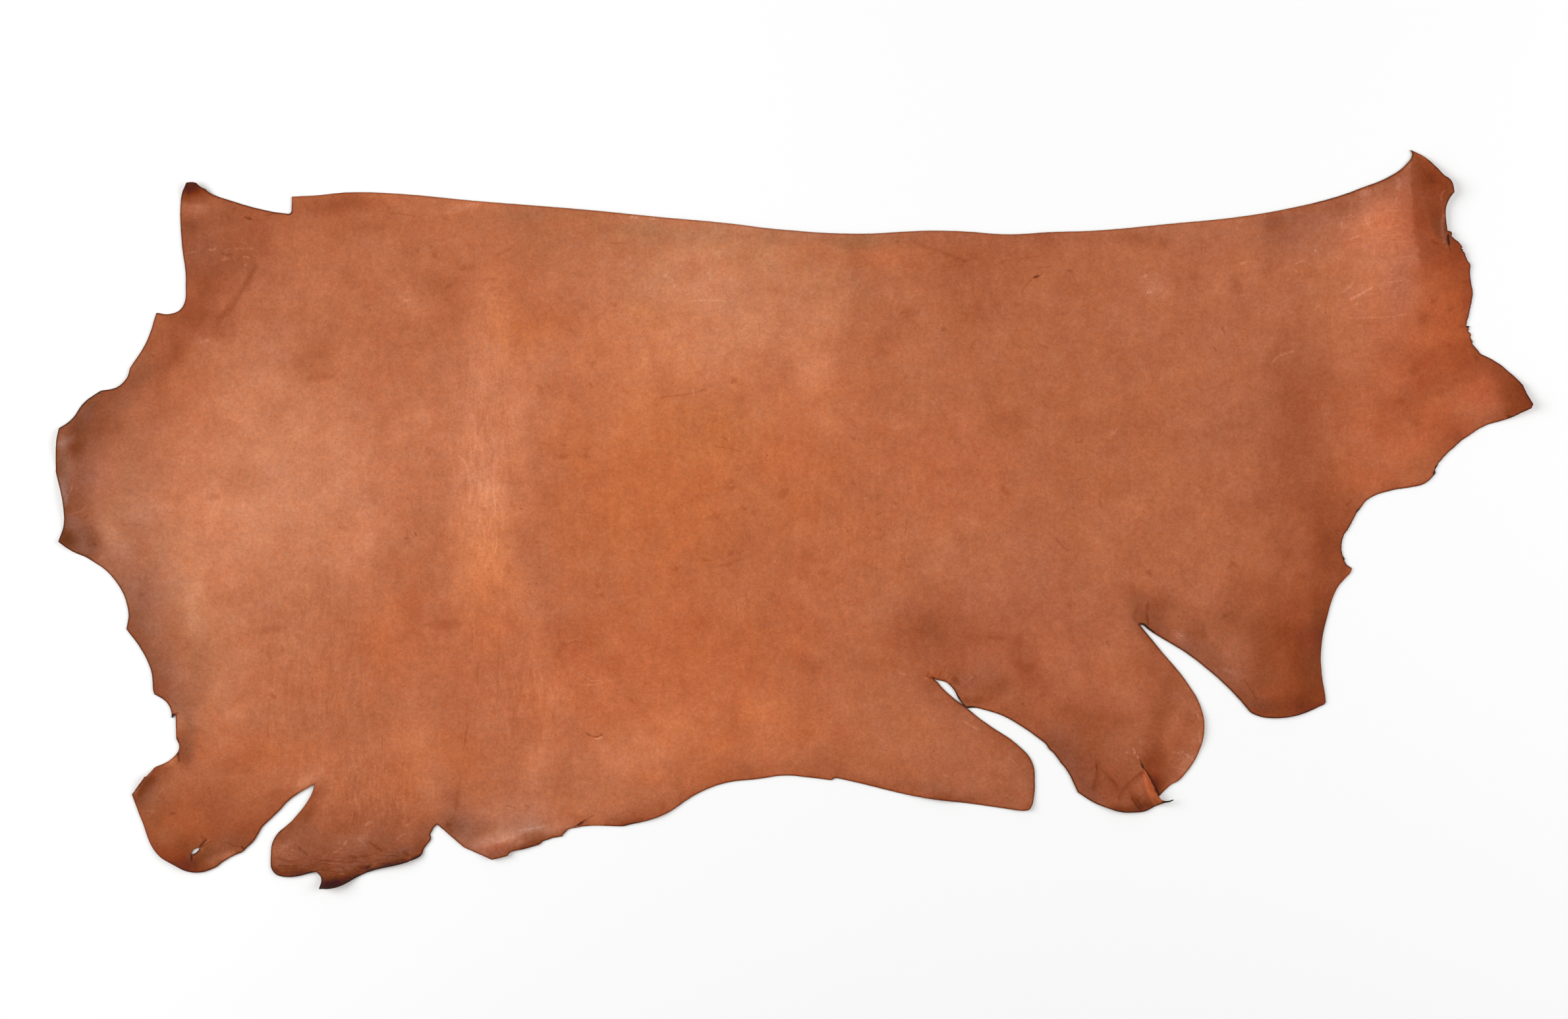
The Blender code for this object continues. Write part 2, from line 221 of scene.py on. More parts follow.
def outwardNormals(loop):
    # the outline runs clockwise, so outward is to the left of its run
    run = np.roll(loop, -1, axis=0) - np.roll(loop, 1, axis=0)
    run /= np.maximum(np.hypot(run[:, 0], run[:, 1]), 1e-6)[:, None]
    return np.stack([-run[:, 1], run[:, 0]], axis=1)


def knifeWobble(loop, corners, make):
    # a hand-held knife strays a little, and the torn stretches are ragged
    out = outwardNormals(loop)
    fromSlit, _, _ = farFromRun(loop[:, 0], loop[:, 1], np.array(slitRun))
    moved = loop.copy()
    for index, (point, way) in enumerate(zip(loop, out)):
        at = point / make["wobbleLength"]
        stray = make["wobble"] * noise.noise(Vector((at[0], at[1], 3.1)))
        for x, y, reach, depth in raggedEdges:
            near = max(0.0, 1 - math.hypot(point[0] - x, point[1] - y) / reach)
            at = point / make["toothLength"]
            tooth = noise.noise(Vector((at[0], at[1], 8.7)))
            stray += depth * min(1.0, 2 * near) * tooth
        if fromSlit[index] > make["slitClear"] and tuple(np.round(point).astype(int)) not in corners:
            moved[index] += way * stray
    return moved


# how it lies: curls at the rim, low swells, and the lip that stands along a slit

curls = (
    # x, y, turn out to the rim, width, reach, bend, rise
    (1031, 593, 0, 418, 70, 10, 15), (1168, 212, -10, 187, 64, 30, 12),
    (-1190, 133, 180, 99, 42, 20, 9), (-1184, 29, 180, 121, 37, 20, 8),
    (-1186, -41, 190, 66, 42, 20, 7), (-997, 531, 95, 121, 32, 12, 13),
    (-1080, -442, 140, 68, 9, 4, 5), (-1032, -546, -110, 176, 40, 30, 8),
    (-755, -578, -105, 143, 37, 20, 13), (-669, -559, -73, 143, 15, 6, 6),
    (-843, -576, -95, 99, 20, 15, 3.5), (-491, -544, -80, 198, 24, 12, 8),
    (-243, -492, -69, 176, 14, 8, 4), (362, -466, -60, 121, 31, 20, 5),
    (213, -449, -80, 286, 15, 10, 3), (543, -468, -92, 165, 20, 10, 6),
    (667, -353, 0, 176, 15, 10, 3), (824, -315, -90, 143, 15, 10, 3))
curlEnd = 2.0            # in reaches past the hinge, clear of the next flap
slitLip = (594, -469, 25.7, 136, 14.2, 6, 12)
slitRun = (              # between the two sides of the slit
    (577.3, -402.5), (583.25, -415.55), (593.45, -433.7), (607.9, -462.7))
lipEnd = 3.0             # past the tip of the lip's tail
swells = (
    # x, y, turn, length, width, rise
    (-518, 32, 90, 704, 165, 3), (-667, -430, 10, 418, 176, 4), (829, -210, -75, 264, 132, 5),
    (521, -364, -45, 253, 121, 5), (-964, -452, 40, 286, 165, 5), (-1107, 186, 60, 286, 132, 4),
    (1016, 252, 75, 286, 143, 4), (136, -397, -8, 462, 99, 4))


def across(x, y, turn):
    # how far out, and how far along, a place lies from a line that faces turn
    angle = math.radians(turn)
    return x * math.cos(angle) + y * math.sin(angle), x * math.sin(angle) - y * math.cos(angle)


def faded(share):
    return np.clip(1 - share * share, 0, None) ** 2


def curlHeight(curl, x, y, end=curlEnd):
    centreX, centreY, turn, width, reach, bend, rise = curl
    out, along = across(x - centreX, y - centreY, turn)
    bent = (np.hypot(np.clip(out, 0, None), bend) - bend) / (math.hypot(reach, bend) - bend)
    return np.where(out < end * reach, rise * bent * faded(2 * along / width), 0)


def lipHeight(lip, x, y):
    # only the near side of the slit is lifted
    centreX, centreY, turn, width, reach, bend, rise = lip
    _, along = across(x - centreX, y - centreY, turn)
    height = np.minimum(curlHeight(lip, x, y, lipEnd), rise * faded(2 * along / width))
    slitX = np.interp(-y, [-place[1] for place in slitRun], [place[0] for place in slitRun])
    return np.where((x > slitX) & (y > slitRun[-1][1]), 0, height)


def swellHeight(swell, x, y):
    centreX, centreY, turn, length, width, rise = swell
    longWay, crossWay = across(x - centreX, y - centreY, turn)
    return rise * faded(np.hypot(2 * longWay / length, 2 * crossWay / width))


def rolling(x, y):
    height = np.zeros(len(x))
    for curl in curls:
        height = height + curlHeight(curl, x, y)
    for swell in swells:
        height = height + swellHeight(swell, x, y)
    return height


def lying(x, y):
    return rolling(x, y) + lipHeight(slitLip, x, y)


# the colour of the grain side: soft patches and painted shade at the rims, then crisp marks, with painted
# shade and light at curls, folds and slits among them

tonePatches = (
    # besides the leather's own mottling, these hold painted light and shade: the uneven light across the
    # hide, and shade at the curled tips, folds and rims
    # x, y, turn, length, width, tone: lighter above 0, darker below
    # the wide end and the upper flap
    (-850, 60, 15, 640, 520, 0.60), (-960, -60, 75, 420, 220, 0.25), (-900, 250, 60, 300, 200, 0.25),
    (-915, 65, 0, 160, 110, -0.3), (-1200, 60, 90, 420, 140, -0.9), (-1205, 60, 90, 200, 70, 0.6),
    (-1140, -30, -55, 150, 60, 0.45), (-1215, -35, 0, 50, 50, -0.5), (-1165, 160, 0, 110, 80, -0.6),
    (-1110, 250, 45, 260, 120, -0.5), (-1100, 260, 50, 120, 50, 0.35), (-1035, 280, 60, 180, 60, -0.45),
    (-960, 470, 0, 300, 260, -0.7), (-985, 385, 45, 160, 90, -0.45), (-1010, 555, 0, 60, 50, -0.9),
    (-975, 525, -20, 90, 50, 0.3), (-755, 530, 0, 160, 60, -0.5), (-680, 495, 0, 70, 80, -0.3),
    (-645, 365, -50, 110, 50, 0.3), (-585, 395, 0, 80, 60, -0.3), (-800, 270, 60, 120, 80, -0.25),
    # down the wide end to its flaps
    (-1070, -250, -65, 420, 110, -0.5), (-1005, -150, 80, 260, 60, 0.35),
    (-1075, -200, -65, 180, 60, 0.3), (-950, -250, 0, 180, 200, 0.2), (-960, -320, 90, 160, 120, 0.25),
    (-1028, -335, 90, 60, 40, 0.5), (-1018, -392, 90, 60, 40, -0.4), (-950, -412, 0, 100, 40, -0.25),
    (-1000, -520, 0, 340, 260, -0.8), (-1010, -578, 0, 110, 50, -0.8), (-740, -560, 10, 360, 200, -0.9),
    (-825, -480, 50, 100, 40, -0.5), (-735, -538, 10, 150, 60, 0.55), (-840, -585, 0, 80, 30, -0.5),
    (-775, -610, 0, 90, 40, -0.9), (-665, -570, 15, 160, 40, -0.6), (-640, -360, 90, 120, 110, 0.2),
    (-640, -150, 90, 110, 60, -0.2),
    # the band across the hide and the middle
    (-520, 120, 88, 760, 190, 0.50), (-530, -60, 90, 300, 110, 0.2), (-455, 170, 80, 240, 90, 0.35),
    (-430, 270, 0, 200, 110, 0.3), (-620, 160, 90, 180, 60, 0.25), (-300, 200, 90, 300, 200, 0.15),
    (-160, 380, 0, 620, 380, 0.45), (-150, 430, 0, 300, 200, 0.2), (40, 330, 80, 300, 140, 0.3),
    (-175, 418, 0, 90, 60, -0.25), (-20, 440, 0, 120, 60, 0.25), (-60, 330, 0, 200, 120, 0.15),
    (35, 240, 60, 130, 90, 0.4), (48, 178, 90, 60, 50, 0.3), (-100, 492, -5, 420, 40, 0.2),
    (-380, -200, 0, 130, 120, -0.2), (-100, -140, 0, 90, 90, 0.2), (-100, -50, 0, 160, 120, -0.1),
    # the belly
    (-250, -390, 30, 420, 200, 0.3), (-430, -420, 80, 180, 90, 0.35), (-330, -480, 0, 120, 60, 0.2),
    (-470, -500, -10, 200, 90, 0.3), (-495, -533, 15, 130, 40, 0.5), (-430, -540, 15, 90, 35, -0.5),
    (-575, -505, -40, 80, 40, -0.4), (-55, -320, 0, 120, 120, 0.25), (20, -240, 0, 70, 50, -0.35),
    (130, -240, 0, 110, 50, -0.25), (270, -462, -5, 140, 30, -0.25), (385, -440, 90, 90, 50, 0.25),
    # the right half
    (300, 440, 0, 320, 160, -0.35), (148, 300, 60, 110, 60, -0.3), (310, 355, 0, 150, 100, -0.25),
    (355, 155, 0, 110, 90, -0.3), (420, 460, 90, 50, 60, -0.2), (600, 385, 0, 80, 70, 0.3),
    (630, 245, 30, 100, 50, 0.2), (520, -20, 0, 200, 120, 0.12), (240, -55, 80, 160, 90, 0.2),
    (280, -230, -30, 320, 260, -0.6), (290, -235, 0, 130, 90, 0.3), (385, -245, 90, 120, 60, -0.3),
    (470, -400, -50, 420, 300, -0.8), (612, -340, 75, 260, 60, -0.45), (595, -148, 0, 100, 80, -0.6),
    (670, -185, 90, 60, 60, -0.4), (800, -230, 90, 420, 300, -0.9), (738, -225, 90, 120, 90, 0.5),
    (840, 130, 88, 620, 170, -0.5), (900, -100, 90, 460, 110, -0.7), (800, 495, 90, 60, 60, -0.4),
    # the neck
    (960, 430, 70, 420, 200, 0.30), (960, 520, 60, 160, 90, 0.25), (985, 570, 20, 120, 40, -0.5),
    (1100, 480, 80, 400, 150, -1.0), (1090, 250, 0, 260, 180, -0.5), (1020, 185, 0, 160, 110, -0.45),
    (1100, 150, 20, 180, 90, -0.4), (1050, 332, 0, 70, 50, -0.15), (1125, 370, 90, 160, 40, -0.5),
    (1215, 210, -40, 140, 90, -0.9), (900, 150, 90, 800, 500, -0.12), (1010, 268, 0, 130, 80, -0.3),
    (995, 372, 10, 100, 50, -0.25), (930, 215, 20, 140, 90, -0.25), (985, 140, 0, 90, 70, -0.2),
    (820, 470, 0, 130, 110, -0.3), (745, -262, 45, 70, 50, 0.25), (668, -155, 0, 70, 50, -0.3),
    (745, 20, 0, 100, 80, -0.25), (750, -105, 0, 140, 80, -0.2), (600, 30, 0, 120, 90, 0.12),
    (445, -350, -45, 130, 60, 0.3), (535, -335, 0, 120, 70, -0.2), (300, -302, 0, 50, 24, -0.4),
    (530, -445, 0, 100, 60, -0.25), (355, -405, 90, 90, 40, 0.15), (-1010, -500, 0, 90, 60, 0.3),
    (-955, -528, 0, 60, 50, 0.1), (-805, -432, 0, 70, 50, 0.45), (-735, -560, 10, 120, 40, 0.2),
    (-395, -485, 0, 130, 80, 0.25), (-1168, 48, 90, 120, 60, 0.45), (-1190, 5, 0, 60, 50, 0.3),
    (-1040, -70, -70, 300, 130, 0.3), (-985, -170, 90, 160, 80, 0.2), (-1035, -310, 90, 70, 40, 0.3),
    (-1200, 120, 0, 44, 44, -0.4), (-990, 335, -40, 110, 60, -0.2), (-798, 520, 0, 110, 50, -0.35),
    (-955, 480, 0, 90, 60, 0.25), (-720, 490, 0, 80, 40, -0.3), (-560, 365, 60, 160, 80, -0.2),
    (-150, 270, 0, 420, 160, 0.2), (-450, 60, 90, 200, 60, 0.2), (450, 390, 0, 110, 80, -0.25),
    (280, 335, 0, 160, 70, -0.2), (-160, -170, 90, 120, 60, -0.25), (-330, -190, 0, 100, 90, -0.2),
    (-580, -165, 90, 90, 60, -0.3), (15, -65, 90, 120, 60, -0.2), (220, -180, 0, 120, 90, -0.2),
    (760, 160, 90, 110, 50, -0.25), (-1015, 290, 60, 110, 40, -0.2), (-920, -400, 0, 160, 60, -0.2),
    (-945, -330, 0, 120, 60, 0.2), (-60, 190, 0, 200, 90, 0.15), (-130, 220, 0, 760, 480, 0.14),
    (560, 120, 90, 900, 800, -0.12), (400, -160, 0, 240, 140, -0.15), (-880, -210, 0, 340, 240, 0.14),
    (-60, -190, 0, 420, 160, -0.12), (0, -385, 0, 130, 70, 0.15), (480, 470, 0, 300, 40, -0.2),
    (1045, 500, 90, 120, 50, -0.3), (860, -165, 90, 70, 60, 0.2), (1068, 580, -35, 100, 60, -0.65),
    (1000, 548, 20, 160, 60, -0.3), (1185, 202, -30, 90, 60, -0.45), (1110, 250, -10, 240, 120, -0.2),
    (830, -305, 0, 90, 60, -0.35), (-975, -571, 25, 80, 34, 0.4), (-1050, -535, -60, 70, 50, 0.55),
    (-1190, -35, -35, 90, 50, 0.45), (-1222, 128, 90, 60, 26, 0.6), (-1220, 45, 90, 80, 24, 0.5),
    (-410, -520, 20, 90, 34, 0.4), (330, -288, 35, 130, 60, -0.35), (-920, -317, 35, 90, 60, 0.3),
    (577, 471, 0, 120, 50, -0.25), (-730, -58, 80, 240, 110, 0.25), (-590, -503, 0, 40, 30, 0.3),
    (640, -200, -25, 60, 30, 0.35), (-750, 498, 20, 170, 100, -0.25), (-1120, 15, 0, 260, 110, 0.25),
    (-645, 160, 50, 120, 70, 0.25), (-90, 200, -80, 90, 60, -0.3), (-412, -295, -75, 270, 110, 0.22),
    (-285, 500, 0, 90, 30, 0.3), (903, 5, 80, 110, 60, 0.25), (-820, -440, 35, 70, 24, 0.25),
    (820, -190, -40, 150, 60, -0.25), (430, 450, -30, 120, 60, -0.05), (484, -215, -70, 250, 80, -0.22),
    (-958, 375, -25, 140, 60, -0.2), (132, -424, -15, 140, 44, 0.25), (-1006, 558, -15, 70, 34, -0.35),
    (600, -442, -60, 60, 30, -0.3), (575, -468, 0, 60, 30, -0.4), (269, -268, -50, 28, 18, -0.6),
    (286, -302, -40, 26, 14, -0.35), (-579, -508, -60, 34, 24, -0.15), (1055, 563, -30, 100, 60, -0.25),
    (-670, -561, 13, 70, 36, 0.4), (1140, 270, -30, 60, 34, 0.35), (1208, 201, -60, 60, 40, 0.3),
    (-406, 163, 60, 150, 70, 0.25), (-718, 531, -5, 150, 44, -0.25), (-1029, -275, -75, 150, 70, 0.25),
    (866, -302, 40, 50, 30, 0.3), (896, -93, 80, 180, 44, 0.22), (197, -176, 0, 190, 140, -0.22),
    (592, -455, 40, 90, 44, -0.35), (616, -430, 50, 60, 50, -0.6), (-1006, 557, -10, 76, 34, -0.3),
    (1192, 178, 20, 70, 34, -0.5), (-1201, -28, -60, 100, 50, 0.45), (625, -390, 62, 240, 70, -0.35),
    (-975, -573, 26, 110, 30, 0.45), (-822, -446, 33, 80, 28, 0.35), (1030, 500, -84, 150, 70, -0.4),
    (-1005, -326, 0, 110, 64, 0.3), (-1039, -538, 80, 80, 60, 0.3), (-1042, -404, 25, 40, 16, 0.6),
    (1060, 470, 80, 90, 50, -0.1), (-498, 46, 0, 90, 60, 0.25), (-613, 267, 0, 90, 60, 0.22),
    (852, 523, 10, 90, 40, -0.2), (923, 517, 0, 90, 50, -0.2), (-60, -382, 0, 110, 70, 0.22),
    (2, 402, 0, 100, 60, 0.22), (189, 471, 0, 90, 40, -0.2), (-531, 528, 0, 110, 30, 0.25),
    (-335, 307, 0, 90, 60, 0.2), (-20, -423, 0, 110, 30, 0.25), (1072, 331, 0, 90, 60, -0.2),
    (248, -467, 0, 80, 30, -0.2), (-930, -101, 0, 80, 60, 0.2), (668, 159, 0, 80, 60, 0.2),
    (177, 159, 0, 80, 60, 0.2), (882, -303, 0, 50, 30, 0.2), (-1008, 30, 0, 50, 40, 0.25),
    (70, 450, -20, 70, 26, 0.25), (95, 468, 0, 90, 20, -0.25), (737, 390, 90, 50, 30, -0.35),
    (762, 78, -30, 40, 24, 0.25), (915, 470, 0, 60, 50, -0.2), (640, 245, 0, 70, 40, 0.15),
    (655, -410, -60, 60, 50, 0.3), (-436, -536, 16, 120, 26, 0.3), (-1229, 111, 90, 60, 30, 0.25),
    (-652, -566, 18, 120, 30, 0.25), (576, -200, -40, 70, 40, 0.35), (1088, 546, 76, 50, 26, -0.4),
    (-665, -550, 24, 200, 50, 0.2), (-1213, 91, 90, 120, 36, 0.2), (-240, -488, 20, 60, 40, 0.25),
    (-1002, 546, -5, 66, 30, -0.1), (698, -232, -35, 90, 50, -0.25), (665, -331, 0, 60, 50, -0.25),
    (-823, -488, 50, 70, 30, 0.3), (-605, -530, -60, 60, 30, 0.35), (-1070, -241, -80, 70, 40, 0.25),
    (-930, -545, 40, 90, 40, 0.1), (-383, -512, 20, 70, 34, 0.3), (-602, -455, -55, 220, 60, 0.3),
    (1033, 69, 20, 80, 36, 0.3), (83, 468, 0, 70, 28, 0.3), (-1180, 111, -70, 220, 100, 0.3),
    (983, 560, 25, 60, 24, 0.3), (642, -199, -25, 70, 40, 0.25), (-484, -45, -72, 480, 110, 0.28),
    (763, 80, 70, 80, 60, -0.28), (1018, 407, 0, 90, 60, -0.2), (-1210, -27, -35, 60, 30, -0.5),
    (-480, -534, 17, 60, 16, 0.5), (-456, -538, 15, 40, 16, 0.4), (-945, -561, 30, 50, 24, 0.4),
    (-808, -488, 55, 60, 24, -0.4), (-438, -543, 15, 60, 20, -0.3), (-872, -458, 40, 50, 30, -0.3),
    (-765, -606, 15, 60, 24, -0.3), (420, 472, 0, 90, 34, -0.25), (-309, 142, 0, 90, 60, 0.25),
    (-309, -237, 0, 90, 60, -0.25), (250, -465, -5, 80, 24, -0.25), (-1212, -48, -25, 50, 20, 0.3),
    (558, 29, 0, 80, 60, 0.25), (389, -480, 0, 40, 24, -0.3), (59, 154, 0, 80, 60, 0.25),
    (-521, -515, 30, 70, 34, -0.25), (627, -135, 0, 70, 50, -0.25), (-1107, 256, 50, 60, 30, 0.3),
    (34, -255, 0, 80, 60, -0.25), (560, -119, 0, 80, 50, -0.25), (859, 384, 0, 80, 60, 0.25),
    (294, -9, 0, 80, 60, 0.25), (-664, 139, 0, 80, 60, 0.25), (-632, -535, -60, 60, 30, -0.25),
    (-843, -201, 0, 80, 60, 0.25), (223, -112, 0, 80, 60, -0.25), (-1014, 540, -10, 70, 32, -0.65),
    (-1011, 551, -5, 50, 24, -0.4), (-985, 532, -30, 60, 24, -0.3), (-1003, 530, -10, 60, 18, -0.3),
    (-1010, 488, 0, 44, 36, -0.3), (-1200, 138, 80, 100, 44, -0.35), (-1166, 166, 0, 60, 50, 0.25),
    (-1185, 200, 45, 50, 22, -0.4), (-1195, 112, 80, 60, 40, -0.4), (-460, -549, 15, 50, 20, -0.3),
    (-941, -559, 30, 40, 20, 0.3), (248, -467, -5, 60, 20, -0.2))

hazeAndSheenPatches = (
    # the same for the haze: greyer and pinker above 0, painted sheen along the rolled rims and the
    # leather's own greyer tone elsewhere; a clearer orange below
    (-1210, 90, 90, 380, 160, 1.0), (-1110, -180, -65, 520, 190, 1.1), (-980, 480, 0, 300, 280, 0.8),
    (-950, -590, 15, 200, 120, 0.8), (-740, -570, 10, 420, 220, 1.2), (-490, -530, 10, 300, 150, 1.2),
    (300, 495, 0, 1300, 110, 0.8), (350, -150, 0, 560, 420, 0.4), (330, -420, 0, 300, 200, 0.4),
    (540, -380, -50, 380, 300, 0.5), (720, -220, -40, 380, 160, 0.7), (590, -150, 0, 120, 100, 0.6),
    (800, 250, 90, 520, 300, 0.3), (1090, 540, 0, 160, 160, 0.8), (850, 470, 20, 260, 120, 0.8),
    (-520, -80, 90, 360, 180, -0.8), (-250, 60, 90, 560, 460, -0.7), (-200, -260, 0, 700, 420, -0.7),
    (-60, -350, 0, 420, 200, -0.4), (-600, -420, 0, 260, 200, -0.8), (1090, 330, 85, 420, 200, -1.3),
    (1000, 130, 20, 360, 220, -0.6), (870, -200, 90, 340, 100, -0.4), (-1030, -500, 0, 160, 180, -0.6),
    (-120, 60, 0, 1100, 760, -0.55), (-90, 130, -30, 260, 120, -0.6), (30, 50, 60, 220, 130, -0.5),
    (-680, -190, 60, 220, 100, -0.6), (-300, 310, 0, 420, 160, -0.3), (-480, 345, 0, 200, 110, -0.3),
    (-890, -390, 0, 320, 120, -0.6), (-1110, 0, 90, 620, 220, 0.6), (-1060, -140, 90, 260, 130, 0.5),
    (1010, 400, 90, 220, 90, 0.6), (600, 385, 0, 60, 60, 0.5), (910, 480, 10, 180, 70, -0.4),
    (740, -150, -30, 160, 90, 0.4), (230, -190, 90, 130, 60, 0.4), (340, -275, -45, 180, 80, 0.5),
    (700, 170, 0, 200, 160, 0.3), (-470, -440, 0, 200, 90, 0.3), (100, 440, 0, 700, 80, -0.3),
    (-740, 530, 0, 300, 50, -0.4), (-200, -430, 0, 300, 60, -0.3), (-120, -370, 0, 120, 60, -0.3),
    (-480, 380, 0, 380, 220, -0.25), (-900, 330, 0, 380, 300, 0.2), (-1200, 70, 90, 260, 90, 0.6),
    (-1040, -280, 90, 220, 80, 0.4), (-620, -230, 0, 460, 300, -0.2), (360, -290, -30, 380, 220, 0.25),
    (455, -385, -50, 180, 90, 0.4), (700, -240, -40, 300, 110, 0.3), (840, -200, 90, 340, 110, -0.4),
    (620, 340, 0, 420, 320, 0.15), (1045, 470, 90, 320, 90, 0.4), (-830, -530, 0, 110, 120, 0.4),
    (520, -450, 0, 150, 80, 0.35), (985, 130, 0, 180, 160, 0.35), (868, -245, 88, 190, 50, -0.9),
    (-1025, -565, -25, 100, 50, -1.3), (-1222, 70, 90, 280, 50, 0.9), (-1190, -25, -45, 120, 50, 0.9),
    (470, -410, -50, 160, 80, 0.6), (520, -435, -30, 200, 90, 0.3), (-1084, -457, 60, 80, 40, 0.8),
    (775, -305, -20, 80, 44, 0.7), (798, 500, 5, 130, 44, 0.6), (960, 535, 15, 330, 80, 0.6),
    (-615, -517, 30, 130, 50, 0.6), (-770, -540, 5, 300, 120, 0.5), (-500, -535, -5, 90, 70, -0.6),
    (-300, -499, 0, 60, 30, 0.5), (-1030, -295, -60, 240, 70, 0.5), (287, -270, -30, 90, 50, 0.5),
    (188, -443, -8, 250, 36, 0.5), (610, -170, -45, 80, 44, 0.4), (-952, -537, 65, 70, 60, 0.4),
    (-988, 440, -75, 120, 90, 0.4), (1020, 348, 75, 150, 110, 0.4), (728, 470, 7, 300, 90, 0.3),
    (-640, -80, 15, 110, 90, -0.35), (-460, 295, 15, 260, 140, -0.35), (-1138, 165, 55, 330, 120, 0.3),
    (900, 139, 64, 170, 120, 0.3), (618, -314, -40, 180, 90, 0.3), (1078, 470, -80, 70, 40, -0.6),
    (230, -262, 0, 40, 30, -0.6), (-1016, -386, -70, 70, 44, 1.3), (-1202, -36, -40, 70, 36, 1.3),
    (866, -302, 50, 60, 36, -1.0), (1081, 480, -70, 80, 40, 0.8), (-1185, 174, 54, 80, 34, 0.8),
    (785, -314, -8, 70, 34, 0.7), (-700, -571, 18, 210, 30, 0.6), (-1008, 551, 0, 40, 26, -0.7),
    (-1074, -461, 75, 110, 50, 0.5), (586, -455, 75, 80, 50, 0.5), (-770, -572, 5, 280, 60, 0.45),
    (1027, 578, 45, 80, 50, 0.5), (-1000, -300, 85, 240, 60, 0.45), (1170, 176, 20, 70, 34, 0.5),
    (-568, -500, -70, 60, 50, 0.6), (-1204, -36, -45, 90, 44, 1.6), (867, -297, 50, 80, 40, -1.2),
    (-1187, 172, 54, 110, 44, 1.0), (-1020, -574, -27, 70, 26, -1.0), (1081, 481, -70, 100, 50, 1.0),
    (-664, -561, 23, 150, 36, 0.9), (866, -204, 84, 80, 40, -1.0), (787, -313, -3, 90, 44, 0.8),
    (-1070, -463, 76, 160, 70, 0.6), (-1008, 551, 0, 60, 40, -1.4), (279, -321, -29, 200, 120, 0.5),
    (803, 503, 6, 150, 50, 0.5), (-1198, -36, -45, 120, 50, 1.0), (862, -302, 40, 80, 40, -0.7),
    (-1025, -572, -27, 70, 28, -0.7), (1080, 480, -65, 90, 44, 0.7), (-948, -542, 20, 140, 60, 0.6),
    (-1186, 173, 54, 110, 40, 0.6), (-648, -558, 25, 110, 34, 0.6), (-1204, -48, -38, 100, 26, 1.0),
    (-1211, -28, -35, 50, 28, 0.8), (862, -304, 37, 90, 34, -0.7), (-1124, 216, 47, 300, 110, 0.7),
    (-860, -567, -76, 90, 36, 0.6), (-511, -529, 0, 140, 84, -0.55), (893, -117, 61, 170, 34, 0.5),
    (-758, -526, 44, 190, 90, -0.55), (865, -204, 79, 60, 40, -0.5), (-1010, 488, 0, 50, 44, 0.6))

